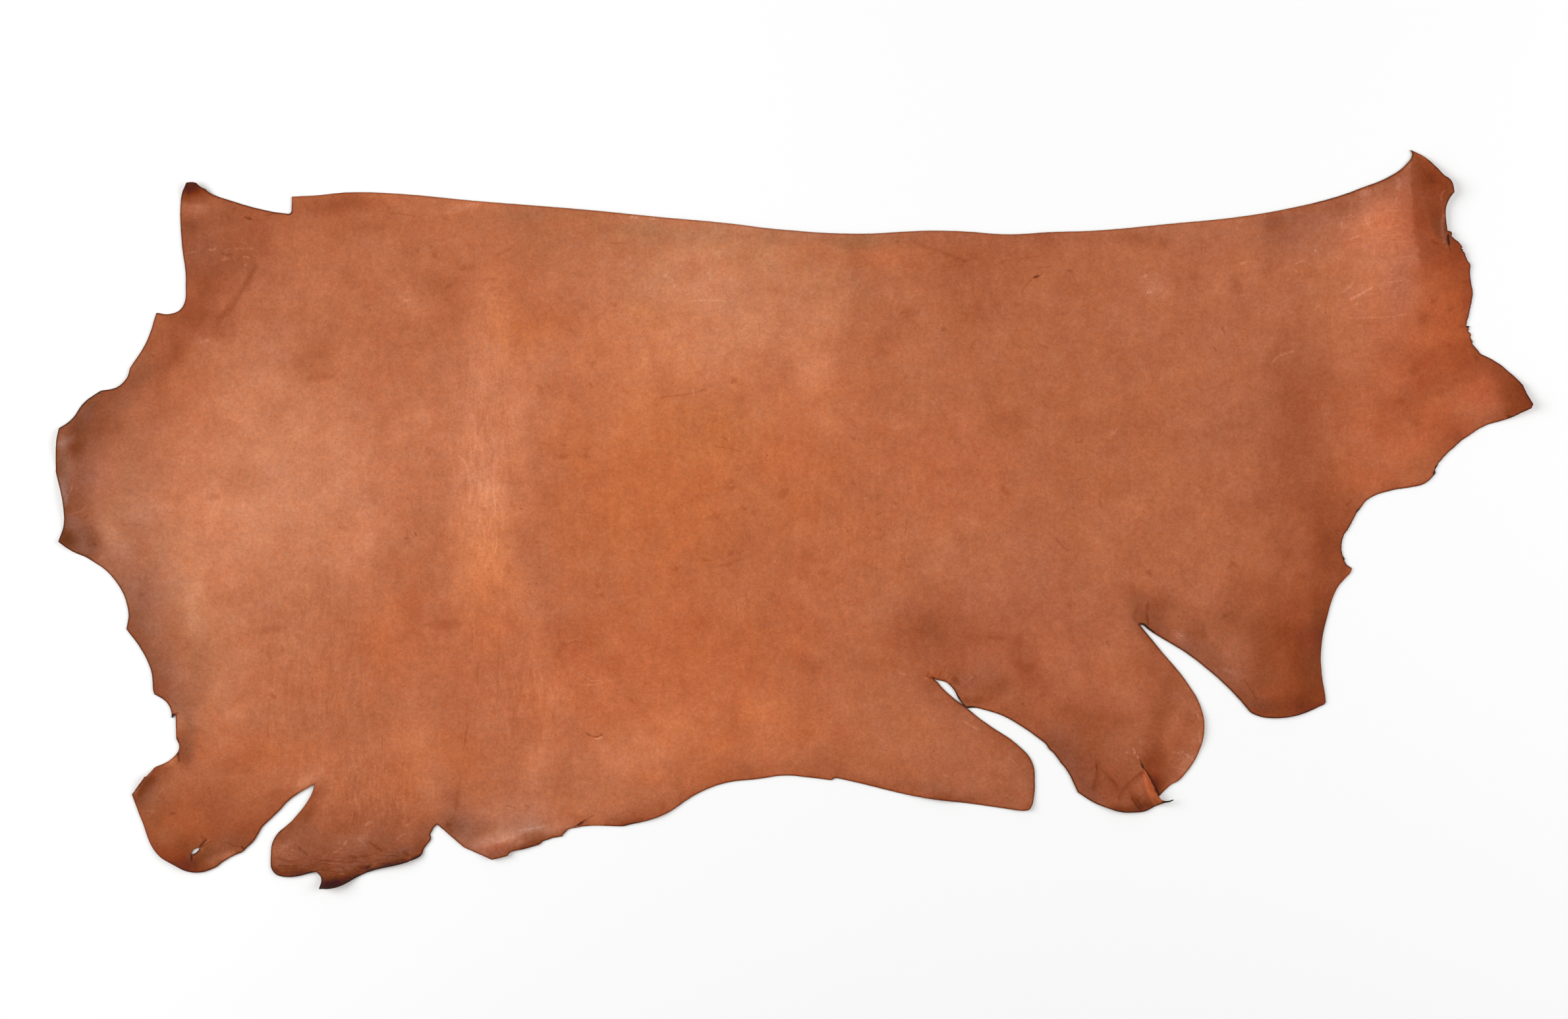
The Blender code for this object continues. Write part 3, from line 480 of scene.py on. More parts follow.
blushPatches = (
    # and for the red in it: redder above 0, a duller brown below
    (-1140, 20, 90, 700, 260, -0.6), (-860, 80, 90, 800, 360, -0.3), (-50, 480, 0, 460, 60, -0.5),
    (1020, 340, 70, 600, 320, 0.55), (1010, 245, 0, 140, 110, 0.4), (1140, 215, -30, 160, 90, 0.4),
    (1065, 560, 90, 120, 60, 0.5), (340, -270, -45, 160, 80, -0.6), (0, 130, 60, 260, 160, 0.3),
    (10, -120, 90, 200, 120, 0.3), (-660, -200, 90, 200, 140, 0.3), (-365, -225, 0, 70, 60, 0.4),
    (-90, 380, 0, 560, 330, -0.35), (-1005, -190, -80, 440, 170, -0.75), (-1222, 60, 90, 260, 40, -1.2),
    (-1208, -32, -30, 70, 44, -0.8), (-1150, 90, 80, 200, 90, 0.4), (-1012, -342, 85, 110, 60, -0.5),
    (-1084, 262, 65, 170, 50, -0.6), (-1172, 193, 40, 70, 26, -0.6), (-250, 482, -5, 150, 56, -0.65),
    (95, 460, 5, 130, 44, -0.7), (-365, 466, -5, 260, 120, -0.35), (-782, 530, 0, 130, 40, -0.45),
    (-160, 150, -10, 320, 200, -0.35), (1000, 490, 15, 220, 150, 0.65), (1068, 160, 30, 330, 120, 0.6),
    (996, 140, 0, 240, 150, 0.3), (400, -230, -20, 580, 380, 0.4), (345, -265, -70, 140, 110, 0.35),
    (520, -430, -20, 170, 80, 0.4), (918, 155, -5, 340, 240, 0.25), (-1024, -545, -25, 190, 84, -0.75),
    (-862, -541, 60, 60, 40, -0.5), (868, -235, 88, 200, 50, -1.2), (1145, 216, 30, 140, 110, 0.55),
    (-1095, -160, -60, 240, 56, -0.5), (-1053, -35, 85, 140, 84, -0.5), (-765, -566, 5, 180, 60, 0.45),
    (-496, -522, 0, 210, 60, -0.45), (-1093, -470, -78, 60, 24, -0.5), (516, -462, -20, 60, 36, 0.45),
    (-1050, 327, 40, 110, 36, -0.45), (-500, -550, 10, 80, 30, 0.5), (864, -299, 49, 80, 44, -1.1),
    (-781, -608, 5, 60, 30, -0.8), (-1019, -573, -18, 80, 32, -1.0), (-1010, 553, 30, 60, 30, -1.0),
    (863, -228, 86, 260, 64, -0.7), (594, -436, 79, 110, 50, 0.8), (790, -298, 53, 100, 64, 0.6),
    (974, 68, 10, 200, 80, 0.5), (-763, -569, 6, 240, 60, 0.5), (-1069, -228, -67, 100, 50, -0.5),
    (-980, -557, 15, 180, 50, -0.5), (1078, 560, 60, 90, 50, 0.7), (-780, -608, 0, 60, 30, -0.8),
    (-1011, 553, 35, 60, 34, -0.8), (-240, 421, 82, 220, 130, -0.4), (56, 401, -28, 340, 180, -0.35),
    (-1220, 131, 82, 60, 34, -0.5), (-429, 464, -60, 200, 110, -0.35), (1042, 509, -80, 260, 76, 0.4),
    (-831, 530, 49, 40, 30, -0.5), (-550, -518, -47, 130, 56, -0.35), (-690, -561, 18, 110, 44, 0.4),
    (861, -307, 30, 80, 28, -0.6), (-1030, -311, -65, 70, 44, -0.6), (127, 466, 0, 200, 40, -0.6),
    (-432, -516, -10, 90, 70, -0.55), (1031, 153, 26, 130, 76, -0.55), (-438, 510, 0, 240, 50, -0.5),
    (1124, 161, 29, 76, 52, 0.5), (-183, 471, -12, 540, 100, -0.5), (-781, -609, 0, 40, 16, -0.6),
    (-1210, -26, -35, 60, 30, 0.6), (-250, -250, 0, 1200, 500, 0.4), (280, 90, 0, 400, 320, 0.35),
    (-760, -570, 10, 320, 100, -0.6), (-1060, -470, 60, 200, 100, -0.6))

shadingWashes = (
    # painted shade and light drawn along folds, curls, slits and rims, some only greyer: tone, haze, how
    # far it reaches on the left and right of its run, then the places it runs along
    # the neck
    (-0.4, 0.0, 60, 60, (1128, 430), (1128, 375), (1118, 330), (1130, 295)),
    (-0.55, 0.0, 42, 42, (1150, 278), (1185, 254), (1215, 226), (1233, 192)),
    (-0.3, 0.0, 40, 40, (1222, 205), (1203, 182)),
    (-0.25, 0.0, 42, 42, (1110, 128), (1075, 95), (1040, 60), (1000, 50)),
    (-0.25, 0.3, 45, 45, (840, 515), (920, 535), (985, 562)),
    (0.0, 0.3, 30, 30, (985, 570), (1028, 596)), (-0.2, 0.1, 40, 3, (786, 506), (785, 470), (784, 430)),
    (0.4, 0.3, 4, 7, (1085, 514), (1081, 492), (1083, 462)),
    (-0.5, 0.0, 60, 3, (1029, 619), (1030, 590), (1030.5, 565), (1032.5, 535), (1033, 510), (1035, 485),
     (1040, 455)),
    (-0.2, 0.0, 26, 4, (1050, 548), (1058, 520), (1066, 495), (1073, 476)),
    # the narrow flap
    (-0.85, 0.0, 58, 58, (878, -195), (868, -230), (870, -275), (875, -320)),
    (-0.5, 0.2, 42, 42, (775, -330), (830, -330), (885, -308)),
    (-0.35, 0.0, 70, 70, (905, 10), (885, -60), (875, -120), (855, -180)),
    (-0.45, 0.6, 35, 35, (583, -176), (620, -198), (655, -220)),
    (0.0, 0.7, 40, 40, (655, -222), (700, -258), (745, -305)),
    # the round flap
    (-0.7, 0.0, 28, 2, (586, -416), (596, -436), (608, -462)),
    (-1.0, 0.3, 18, 18, (535, -488), (575, -486), (602, -474)),
    (-0.35, 0.0, 12, 3, (503, -408), (505, -418), (502, -432), (497, -450)),
    (-0.3, 0.0, 3, 10, (518, -420), (528, -432), (538, -444), (543, -450)),
    (-0.35, 0.0, 10, 4, (581, -420), (572, -428), (560, -438), (550, -446), (545, -456), (541, -466)),
    (-0.5, 0.0, 16, 3, (562, -463), (567, -472), (575, -483)),
    (-0.3, 0.0, 36, 36, (585, -200), (592, -300), (598, -390)),
    (0.0, 0.9, 42, 42, (425, -380), (460, -430), (490, -468)),
    (0.0, 0.7, 30, 30, (490, -470), (540, -486), (600, -478)),
    (-0.15, 0.4, 50, 50, (610, -220), (660, -285), (682, -350), (650, -425)),
    # the square flap and the belly
    (0.0, 0.5, 40, 40, (230, -462), (300, -472), (388, -480), (398, -440), (380, -385)),
    (0.0, 0.8, 60, 60, (-595, -440), (-560, -500), (-520, -545)),
    (-0.35, 0.3, 30, 30, (-570, -470), (-560, -505)),
    (-0.3, 0.0, 24, 24, (-300, -508), (-255, -500), (-225, -485)),
    (0.0, 0.4, 30, 30, (-500, -560), (-440, -545), (-370, -515)),
    (-0.45, 0.2, 14, 14, (-505, -562), (-470, -553), (-430, -540), (-385, -524)),
    (0.25, 0.2, 30, 3, (-528, -549), (-505, -541), (-470, -531), (-430, -522)),
    (-0.15, -0.3, 3, 16, (-528, -549), (-505, -541), (-470, -531), (-430, -522)),
    (-0.35, 0.2, 12, 12, (-450, -531), (-435, -528), (-418, -526)),
    # the hooked flap
    (-0.7, 0.0, 22, 22, (-790, -614), (-755, -607), (-720, -590)),
    (-0.45, 0.6, 24, 24, (-870, -578), (-835, -592), (-795, -584)),
    (-0.55, 0.4, 34, 34, (-608, -530), (-625, -553), (-665, -568)),
    (-0.35, 0.3, 28, 28, (-800, -450), (-828, -495), (-862, -530)),
    # the corner flap
    (-0.8, 0.3, 34, 34, (-1102, -460), (-1085, -435), (-1065, -418)),
    (-0.7, 0.1, 42, 42, (-1055, -562), (-1015, -580), (-980, -578)),
    (-0.35, 0.0, 30, 30, (-930, -550), (-890, -510), (-860, -480), (-838, -462)),
    (-0.35, 0.0, 30, 30, (-1045, -540), (-1015, -545)),
    # the wide end and the upper flap
    (0.5, 0.6, 10, 10, (-1233, 125), (-1220, 128), (-1205, 135)),
    (0.45, 0.9, 9, 9, (-1226, 66), (-1221, 45), (-1216, 28)),
    (-0.5, 0.3, 36, 36, (-1224, -36), (-1202, -30), (-1180, -38)),
    (0.2, 0.3, 8, 8, (-1190, -51), (-1166, -51)),
    (0.3, 0.0, 36, 36, (-1150, -68), (-1125, -95), (-1115, -130)),
    (-0.3, 0.0, 40, 40, (-1155, 200), (-1135, 150)),
    (-0.6, -0.3, 24, 24, (-1020, 563), (-1000, 558), (-978, 548)),
    (-0.35, 0.0, 40, 40, (-1030, 350), (-990, 335), (-950, 330)),
    (-0.6, 0.0, 9, 7, (-901, 424), (-907, 412), (-916, 392), (-926, 378), (-938, 360), (-947, 349),
     (-960, 336)),
    (0.3, 0.0, 16, 16, (-1014, 518), (-1000, 517), (-988, 516)))

crinklePatches = (
    # fine wrinkles that lie along the hide above 0, and that run across it below
    (-745, -580, 8, 300, 90, 1.0), (-855, -570, 90, 80, 50, 0.9), (-700, -465, -80, 220, 240, -0.8),
    (-520, 80, 90, 760, 170, -0.6), (-800, -250, 80, 520, 380, -0.5), (-450, -300, 80, 420, 300, -0.5),
    (1000, 480, 0, 100, 90, 0.25), (990, 385, 10, 110, 60, 0.25), (-440, -545, 15, 160, 30, 0.6),
    (110, -20, 90, 420, 300, -0.3), (-90, -140, 90, 90, 90, -0.6), (-335, -272, 5, 100, 30, 0.35))

scuffPatches = (
    # where the dressing is rubbed into pale specks
    (670, -345, 84, 150, 20, 1.6), (652, -394, -12, 56, 34, 1.6), (575, -385, -60, 50, 40, 0.9),
    (252, -320, -35, 60, 24, 1.0), (296, -343, -35, 50, 20, 0.6), (643, -190, -50, 36, 18, 1.0),
    (952, 545, 25, 40, 16, 0.9), (1008, 562, 80, 36, 20, 0.8), (940, 375, 30, 70, 26, 0.6),
    (955, 498, 90, 50, 24, 0.6), (1000, 470, 0, 70, 90, 0.35), (1000, 400, 0, 60, 30, 0.5),
    (912, 490, 90, 50, 20, 0.5), (730, -252, -20, 60, 16, 0.5), (-940, 445, 0, 110, 40, 0.5),
    (-992, 519, 0, 40, 18, 0.8), (275, -290, -45, 80, 40, 0.6), (255, -262, 50, 40, 26, 0.7),
    (345, -400, -45, 150, 80, 0.3), (-1215, 60, 90, 80, 24, 0.5), (-300, -372, 0, 60, 24, 0.5),
    (-480, -535, 14, 120, 20, 0.5), (-110, 470, -8, 160, 40, 0.4), (-140, 440, -20, 80, 24, 0.6),
    (-60, 400, 0, 100, 60, 0.35), (-150, 365, 0, 200, 16, 0.4), (-45, 345, 5, 60, 16, 0.5),
    (-165, 445, 30, 40, 16, 0.5), (598, 392, -45, 100, 54, 0.8), (665, 475, 10, 80, 30, 0.7),
    (764, 415, -70, 60, 30, 0.9), (640, 252, 0, 60, 20, 0.6), (710, 185, 0, 120, 40, 0.5),
    (830, 470, 60, 90, 50, 0.4))

creases = (
    # rise, width, places: folds and welts that stand up, or sink in below 0
    (0.8, 5, (1088, 478), (1086.5, 468), (1089, 456)),
    (-1.4, 2.2, (1091, 478), (1091.5, 468), (1093, 458)),
    (1.0, 8, (1084, 514), (1080, 495), (1081, 472)),
    (0.6, 3.5, (1087, 550), (1082, 546), (1079, 538), (1081, 527)),
    (0.7, 5, (-717, -514), (-711, -508), (-704, -504)),
    (0.6, 4, (-728, -534), (-722, -538), (-715, -544)), (0.6, 4, (-752, -544), (-746, -536)),
    (0.5, 3, (-768, -556), (-762, -553), (-757, -549)),
    (0.6, 4, (-662, -533), (-655, -528), (-648, -524)), (0.5, 4, (-650, -514), (-642, -508)),
    (-0.6, 2.6, (-709, -539), (-702, -543), (-696, -550), (-688, -554)),
    (-0.6, 2.6, (-829, -548), (-822, -553), (-816, -557)), (-0.6, 3, (-653, -555), (-643, -560)),
    (0.8, 4, (-705, -580), (-700, -577)), (-0.7, 3.5, (-713, -582), (-709, -577)),
    (-0.5, 2.2, (-994, -548), (-990, -543), (-985, -537.5), (-980, -534)),
    (-0.4, 2, (-948, -538), (-935, -545), (-922, -546)),
    (-0.5, 2, (-1007, -558), (-1006.5, -563), (-1006, -570)),
    (0.6, 4, (-1104, -456), (-1088, -438), (-1078, -426), (-1070, -418)),
    (-0.4, 2, (-347, -357), (-341, -361), (-335, -362), (-329, -363), (-324, -360)),
    (0.4, 3, (-332, -367), (-326, -366)),
    (-0.5, 2, (-334, -493), (-345, -498), (-357, -507), (-368, -513)),
    (0.8, 7, (-534, -551), (-500, -547), (-470, -541), (-440, -532), (-420, -527)),
    (-0.5, 2, (576, -401), (578, -407)), (0.5, 3, (565, -382), (568, -391), (574, -400)),
    (0.5, 3, (272, -284), (284, -274), (297, -262)), (-0.5, 3, (284, -299), (292, -305)))
wrinkleRelief = dict(rise=0.25, long=30.0, short=6.0, seed=4.2)

rimPaintedShades = dict(
    # along each stretch: how much painted shade darkens the rim, how far in that reaches, and how dark the
    # arris line is, which is partly the cut edge and partly painted shade
    backLine=(0.0, 30, 0.4), neckRise=(0.1, 20, 0.8), neckCorner=(0.2, 30, 0.8),
    neckEnd=(0.3, 40, 0.75), narrowSide=(0.2, 30, 0.35), narrowFlap=(0.3, 50, 0.8),
    roundFlap=(0.15, 20, 0.6), lipSlit=(0.0, 20, 0.0), lipTail=(0.3, 12, 1.0),
    roundToe=(0.15, 20, 0.85), longSlit=(0.3, 12, 0.75), squareFlap=(0.3, 25, 0.65),
    belly=(0.5, 28, 0.65), bellySlit=(0.3, 20, 0.1), bellyTorn=(0.4, 24, 0.65),
    hookedFlap=(0.3, 40, 0.8), hookedSide=(0.15, 30, 0.3), cornerFlap=(0.3, 30, 0.7),
    cornerSide=(0.3, 30, 0.5), wideEnd=(0.5, 60, 0.8), upperFlap=(0.3, 30, 0.75))

marksAndShading = (
    # the darkest strokes, in slits, nicks, the torn hole, at curled tips and along the cut edges, are
    # painted shadow, and the pale lines along ridges and the lip's edge are painted highlight; the rest
    # are scratches, specks and smudges
    # amount, width, then the places it runs through: paler above 0, darker below
    # the wide end
    (-0.15, 2.0, (-1122, -9), (-1104, -6), (-1091, 2), (-1085, 5)),
    (-0.8, 2.6, (-1229, 151), (-1210, 165), (-1187, 195), (-1173, 207), (-1159, 213)),
    (0.45, 2.4, (-1214, 38), (-1209, 47), (-1206, 54)),
    (0.25, 2, (-1208, 9), (-1198, 12), (-1190, 15), (-1184, 19)), (0.35, 4, (-1158, -62), (-1156, -66)),
    (-0.4, 3, (-1169, -41), (-1166, -42)), (-0.35, 2.4, (-1184, 3), (-1180, 7)),
    # the upper flap
    (-0.6, 3.5, (-915, 504), (-906, 501)), (-0.15, 2.4, (-902, 500), (-888, 499), (-874, 504)),
    (-0.4, 3, (-880, 508), (-868, 511)), (-0.5, 2.5, (-844, 509), (-838, 512)),
    (0.35, 2, (-1017, 443), (-1005, 446), (-992, 449)), (0.25, 1.8, (-993, 475), (-985, 470)),
    (0.55, 3, (-978, 451), (-970, 450), (-966, 453)),
    (0.25, 1.8, (-960, 452), (-950, 450), (-940, 453), (-930, 451), (-918, 453), (-905, 452)),
    (0.35, 2, (-958, 440), (-950, 438), (-946, 436)), (0.5, 2.4, (-953, 434), (-944, 436)),
    (0.3, 2, (-937, 438), (-933, 434)), (0.45, 2.4, (-920, 438), (-914, 439), (-910, 437)),
    (0.3, 3, (-916, 427), (-917, 416)), (-0.3, 2.5, (-955, 444), (-945, 441), (-940, 443)),
    # the corner flap and its torn hole
    (0.6, 2.4, (-1102.5, -459), (-1087, -439), (-1078, -428), (-1070, -419.5)),
    (-0.3, 8, (-1094, -462), (-1080, -445), (-1068, -430)),
    (-1.2, 2.8, (-1038.3, -329.5), (-1034.6, -324)),
    (-0.9, 2.4, (-1029, -388), (-1028, -396), (-1027, -403)), (-0.6, 2.5, (-1030, -364), (-1027, -372)),
    (-0.35, 4, (-1041, -492), (-1033, -489)), (-0.4, 2, (-948, -538), (-935, -545), (-922, -546)),
    (-0.8, 2.6, (-923, -546), (-919, -549)), (-0.4, 2, (-932, -553), (-926, -556)),
    (-0.9, 2.2, (-993.5, -548.5), (-990.5, -543.6), (-987.5, -540), (-984, -536.5), (-981, -534.3)),
    (0.4, 1.8, (-984, -540.5), (-980.5, -537.5), (-977, -535.5)),
    (-0.4, 2, (-981, -541), (-977, -538.5), (-974, -537)),
    (-0.3, 5, (-992, -548), (-987, -541), (-982, -536)),
    (-0.9, 2.4, (-1006, -560), (-1002, -559), (-997, -555.3), (-993, -551)),
    (-0.25, 4, (-992, -529), (-984, -533), (-981, -537)),
    (-1.0, 2.6, (-1007, -558), (-1006.5, -563), (-1006, -569)), (0.4, 2, (-1009, -560), (-1009, -566)),
    (0.3, 3, (-991, -553), (-985, -547)),
    # the plain grain
    (0.3, 1.6, (-502, 95), (-502, 60), (-500, 30), (-499, 5)),
    (0.5, 1.8, (-498, -28), (-497, -42), (-500, -55)),
    (0.25, 3, (-561, 106), (-552.5, 99.6), (-547.7, 91.5), (-545.7, 81.4)),
    (-0.6, 1.9, (-634, -21), (-631, -26)), (-0.35, 3, (-650, -32), (-643, -31)),
    (-0.3, 2, (-651, -41), (-647, -39)), (-0.25, 2.4, (-646, -19), (-646, -24)),
    (-0.45, 2, (-457, 18), (-455, 18)), (-0.4, 2, (-478, -46), (-476, -47)),
    (-0.2, 5, (-433, -37), (-427, -38)), (-0.3, 2.4, (-667, -107), (-660, -104)),
    (-0.35, 1.4, (188, -4), (185, -12), (186, -18), (184, -22)),
    (0.3, 1.6, (189, -18), (188, -28), (186, -36)), (0.25, 1.5, (187, -58), (186, -72)),
    (-0.3, 1.5, (183, -64), (184, -70)), (-0.4, 2.6, (166, 29), (168, 27)),
    (-0.35, 2.8, (97, 62), (99, 60)), (-0.3, 2, (139, 9), (147, 13)), (0.3, 1.6, (117, 35), (119, 35)),
    (-0.3, 8, (-392, 104), (-383, 106), (-378, 107)), (-0.25, 7, (-352, 106), (-344, 105)),
    (-0.2, 5, (-352, 117), (-345, 118)), (-0.2, 6, (-387, 127), (-385, 122)),
    (-0.2, 9, (-614, 114), (-606, 116)), (-0.2, 12, (-480, -76), (-477, -88)),
    (-0.2, 10, (-612, -175), (-590, -176), (-556, -174)),
    (-0.18, 2, (-545, -295), (-547, -330), (-550, -360), (-552, -385)),
    (-0.18, 1.8, (-493, -215), (-494, -245)), (-0.35, 3, (-388, -206), (-382, -209)),
    (0.28, 2.2, (-381, -207), (-375, -202), (-366, -200), (-357, -202)),
    (-0.15, 2.4, (-380, -211), (-374, -205), (-362, -203), (-352, -206)),
    (-0.25, 5, (-333, -108), (-325, -112)), (-0.25, 5, (-325, -125), (-318, -128)),
    (0.08, 5, (-347, -145), (-320, -138), (-290, -131), (-262, -128)),
    (-0.25, 8, (-145, 2), (-135, 4), (-125, 8)), (-0.2, 16, (-112, 57), (-100, 56)),
    (0.35, 1.8, (-106, 58), (-104, 58)), (-0.25, 2, (-130, 122), (-105, 118), (-90, 114)),
    (0.25, 1.8, (-109, 142), (-109, 128)), (-0.28, 9, (-28, 38), (-20, 42), (-12, 50)),
    (-0.25, 2.4, (-160, -62), (-150, -67), (-140, -69)), (-0.25, 7, (-110, -60), (-103, -52)),
    (-0.2, 4, (-125, -77), (-108, -74), (-95, -68)), (-0.2, 9, (-205, -82), (-195, -80)),
    (-0.25, 8, (-72, 10), (-64, 14)), (-0.3, 4, (-82, 18), (-80, 17)), (0.4, 2, (-34, -70), (-32, -70)),
    (-0.25, 4, (87, -16), (89, -22)), (-0.12, 9, (10, -64), (45, -66)),
    (-0.2, 10, (40, -90), (55, -88)), (-0.25, 5, (-275, -298), (-270, -304)),
    (-0.25, 1.8, (-675, 512), (-655, 510), (-638, 507)), (-0.25, 6, (-604, 444), (-597, 437)),
    (-0.25, 5, (-632, 450), (-628, 446)), (-0.2, 4, (-500, 440), (-488, 446), (-474, 452)),
    (-0.2, 8, (-558, 418), (-545, 420), (-530, 420)), (-0.2, 6, (-522, 398), (-512, 402)),
    (-0.2, 4, (-505, 401), (-499, 402)), (-0.25, 6, (-580, 388), (-572, 394)),
    (-0.2, 5, (-508, 384), (-498, 386)), (-0.25, 4, (-585, 366), (-580, 367)),
    (-0.2, 8, (-358, 358), (-345, 352)), (-0.25, 5, (-303, 360), (-296, 358)),
    (-0.2, 5, (-317, 337), (-313, 332)), (-0.4, 2.6, (-341, 226), (-339, 224)),
    (-0.2, 9, (-430, 224), (-422, 212)),
    (-0.25, 2.2, (-218, 205), (-195, 207), (-172, 210), (-150, 217)),
    (0.3, 1.8, (-169, 215), (-167, 208)), (-0.3, 7, (-104, 228), (-97, 237)),
    (-0.25, 6, (-338, 258), (-332, 264)), (0.35, 3, (-275, 505), (-262, 504)),
    (0.3, 2.4, (-243, 502), (-228, 501)), (0.2, 5, (-220, 410), (-205, 400), (-200, 388)),
    (0.25, 4, (-652, 366), (-640, 366)), (0.2, 7, (-585, 511), (-555, 520), (-525, 528)),
    (-0.25, 8, (-978, 36), (-968, 38), (-960, 34)), (-0.18, 1.8, (-788, 82), (-788, 58)),
    (-0.18, 1.8, (-782, 82), (-782, 58)), (-0.2, 9, (-815, 234), (-795, 238), (-770, 240)),
    (-0.25, 5, (-875, -292), (-866, -298)), (-0.2, 5, (-1095, -128), (-1085, -124)),
    (-0.2, 9, (-905, -188), (-880, -184), (-850, -182)),
    (0.3, 4, (-992, 296), (-983, 299), (-975, 299)), (-0.3, 3, (-119, 138), (-115, 134)),
    (-0.2, 1.8, (-538, -180), (-538, -215)), (-0.2, 1.8, (-528, -240), (-529, -275)),
    (-0.18, 1.8, (-495, -240), (-496, -300)), (0.2, 9, (-94, -148), (-88, -132)),
    (0.35, 2.4, (-353, -260), (-348, -264), (-342, -266)),
    (0.35, 2.4, (-346, -265), (-337, -269), (-325, -268)),
    (0.3, 2.4, (-346, -274), (-335, -276), (-322, -273)),
    (0.25, 2, (-362, -273), (-352, -276), (-344, -278)),
    (0.22, 2, (-320, -272), (-309, -270), (-302, -266)),
    (-0.12, 2, (-352, -269), (-344, -273), (-336, -273)), (-0.3, 1.6, (-688, -360), (-688, -380)),
    (-0.3, 1.6, (-718, -372), (-718, -389)), (-0.3, 1.6, (-781, -306), (-780, -323)),
    (-0.3, 1.6, (-879, -348), (-879, -363)), (0.2, 1.8, (-177, 365), (-140, 366), (-106, 365)),
    (-0.25, 1.6, (-315, 461.5), (-295, 461), (-278, 461)), (0.25, 7, (-133, 443), (-123, 446)),
    (-0.35, 3, (-609, 455), (-603, 457)), (0.35, 2.2, (174, -256), (181, -258)),
    (0.35, 4, (579, 405), (589, 409)), (0.35, 4, (588, 378), (596, 381)),
    (0.3, 4, (744, 426), (754, 430)), (0.3, 4, (738, 497), (748, 500)),
    (0.4, 2.4, (797, 262), (805, 271), (815, 276), (832, 281)),
    (-0.8, 3.4, (399, 404), (404, 405.5), (408, 407)),
    (-0.3, 2, (398, 404), (392, 398), (386, 390), (380, 382)), (-0.35, 2, (714, 318), (718, 311)),
    (-0.35, 2, (699, 288), (703, 283)), (-0.3, 2, (438, -34), (446, -44), (453, -50)),
    (-0.35, 2.4, (520, -203), (524, -208)), (-0.3, 6, (587, -86), (593, -90)),
    (-0.3, 6, (730, -71), (735, -77)), (-0.2, 4, (723, -78), (727, -80)),
    (-0.2, 5, (711, -165), (720, -160), (727, -157)), (-0.35, 3, (716, -162), (720, -160)),
    (-0.3, 4, (170, 463), (174, 465)), (-0.15, 4, (200, 462), (235, 450), (265, 440), (282, 432)),
    (-0.35, 4, (280, 431), (288, 432)), (-0.3, 4, (344, 429), (350, 431)),
    (-0.25, 2.4, (378, 436), (393, 438), (409, 440)), (0.3, 2.4, (411, 428), (413, 427)),
    (-0.2, 1.8, (411, 420), (420, 421), (430, 423)), (-0.3, 4, (455, 416), (463, 414)),
    (-0.2, 4, (437, 342), (446, 343), (455, 345)), (-0.2, 5, (365, 358), (378, 360)),
    (-0.3, 6, (246, 316), (252, 319)), (-0.2, 14, (180, 345), (200, 345)),
    (-0.2, 5, (296, 290), (300, 296)), (-0.2, 3, (408, 292), (420, 288)),
    (0.2, 2.4, (137, 373), (147, 370)), (-0.2, 16, (664, 405), (676, 404)),
    (-0.2, 12, (612, 470), (618, 455)), (-0.3, 4, (96, 137), (102, 133)),
    (-0.25, 2.6, (150, -24), (143, -32)), (-0.3, 2.6, (509, 30), (512, 22)),
    (-0.3, 2.2, (463, 20), (467, 18)), (-0.25, 2, (476, 67), (482, 69)),
    (-0.25, 2, (473, 129), (480, 130)), (-0.25, 6, (346, 56), (352, 46), (360, 42)),
    (-0.2, 8, (380, -188), (376, -200), (375, -215)), (-0.2, 4, (322, -196), (340, -198), (355, -198)),
    (-0.2, 10, (365, -240), (385, -248), (400, -246)), (0.3, 6, (528, 140), (535, 148)),
    (0.2, 5, (668, 56), (676, 46), (680, 38)), (-0.2, 8, (452, -140), (462, -146)),
    (-0.2, 9, (682, -185), (680, -200)), (0.4, 2.6, (726, 77), (728, 76)),
    (0.5, 3, (835, 416), (838, 414)), (0.35, 2.4, (838, 428), (845, 430), (852, 432)),
    (0.4, 3, (867, 449), (870, 448)), (0.3, 6, (870, 352), (874, 362)),
    (0.3, 4, (824, 348), (830, 347)), (0.25, 2, (885, -3), (889, -8), (893, -14)),
    (-0.25, 11, (1025, 248), (1040, 250)), (-0.3, 5, (1102, 232), (1106, 233)),
    (-0.12, 9, (1045, 335), (1055, 340)), (-0.2, 12, (1070, 210), (1085, 216)),
    (-0.2, 10, (1030, 165), (1045, 160)), (-0.2, 10, (1005, 195), (1020, 200)),
    (-0.25, 5, (1091, 290), (1096, 292)), (-0.25, 6, (1136, 272), (1142, 264)),
    (-0.8, 4, (938, 13), (942, 17)), (-0.35, 4, (921, 24), (926, 28)),
    (-0.3, 5, (590, -140), (588, -152)),
    # the neck
    (0.35, 2.2, (928, 336), (945, 336.5), (962, 337), (975, 337)),
    (0.25, 1.8, (975, 337), (998, 339), (1020, 343)),
    (0.35, 3.4, (930, 368), (938, 373), (946, 377), (955, 383), (964, 387)),
    (0.25, 3, (932, 371), (927, 367)), (0.35, 2, (935, 358), (940, 362)),
    (0.3, 5, (916, 380), (922, 386), (928, 391)), (-0.9, 3, (1069, 84), (1071, 90)),
    (-0.9, 5, (1067, 75), (1069, 81)), (-0.9, 3.5, (916, -63), (917, -68)),
    (-1.0, 5, (1124, 322), (1125, 320)), (-0.5, 4, (1188, 173), (1196, 172)),
    (0.45, 2, (929, 469), (935, 471), (942, 474)), (0.25, 2, (984, 474), (998, 475), (1012, 477)),
    (0.4, 2, (1017, 465), (1021, 464)), (0.35, 2.4, (1012, 502), (1015, 500)),
    (0.25, 1.8, (990, 515), (1005, 516), (1018, 517)),
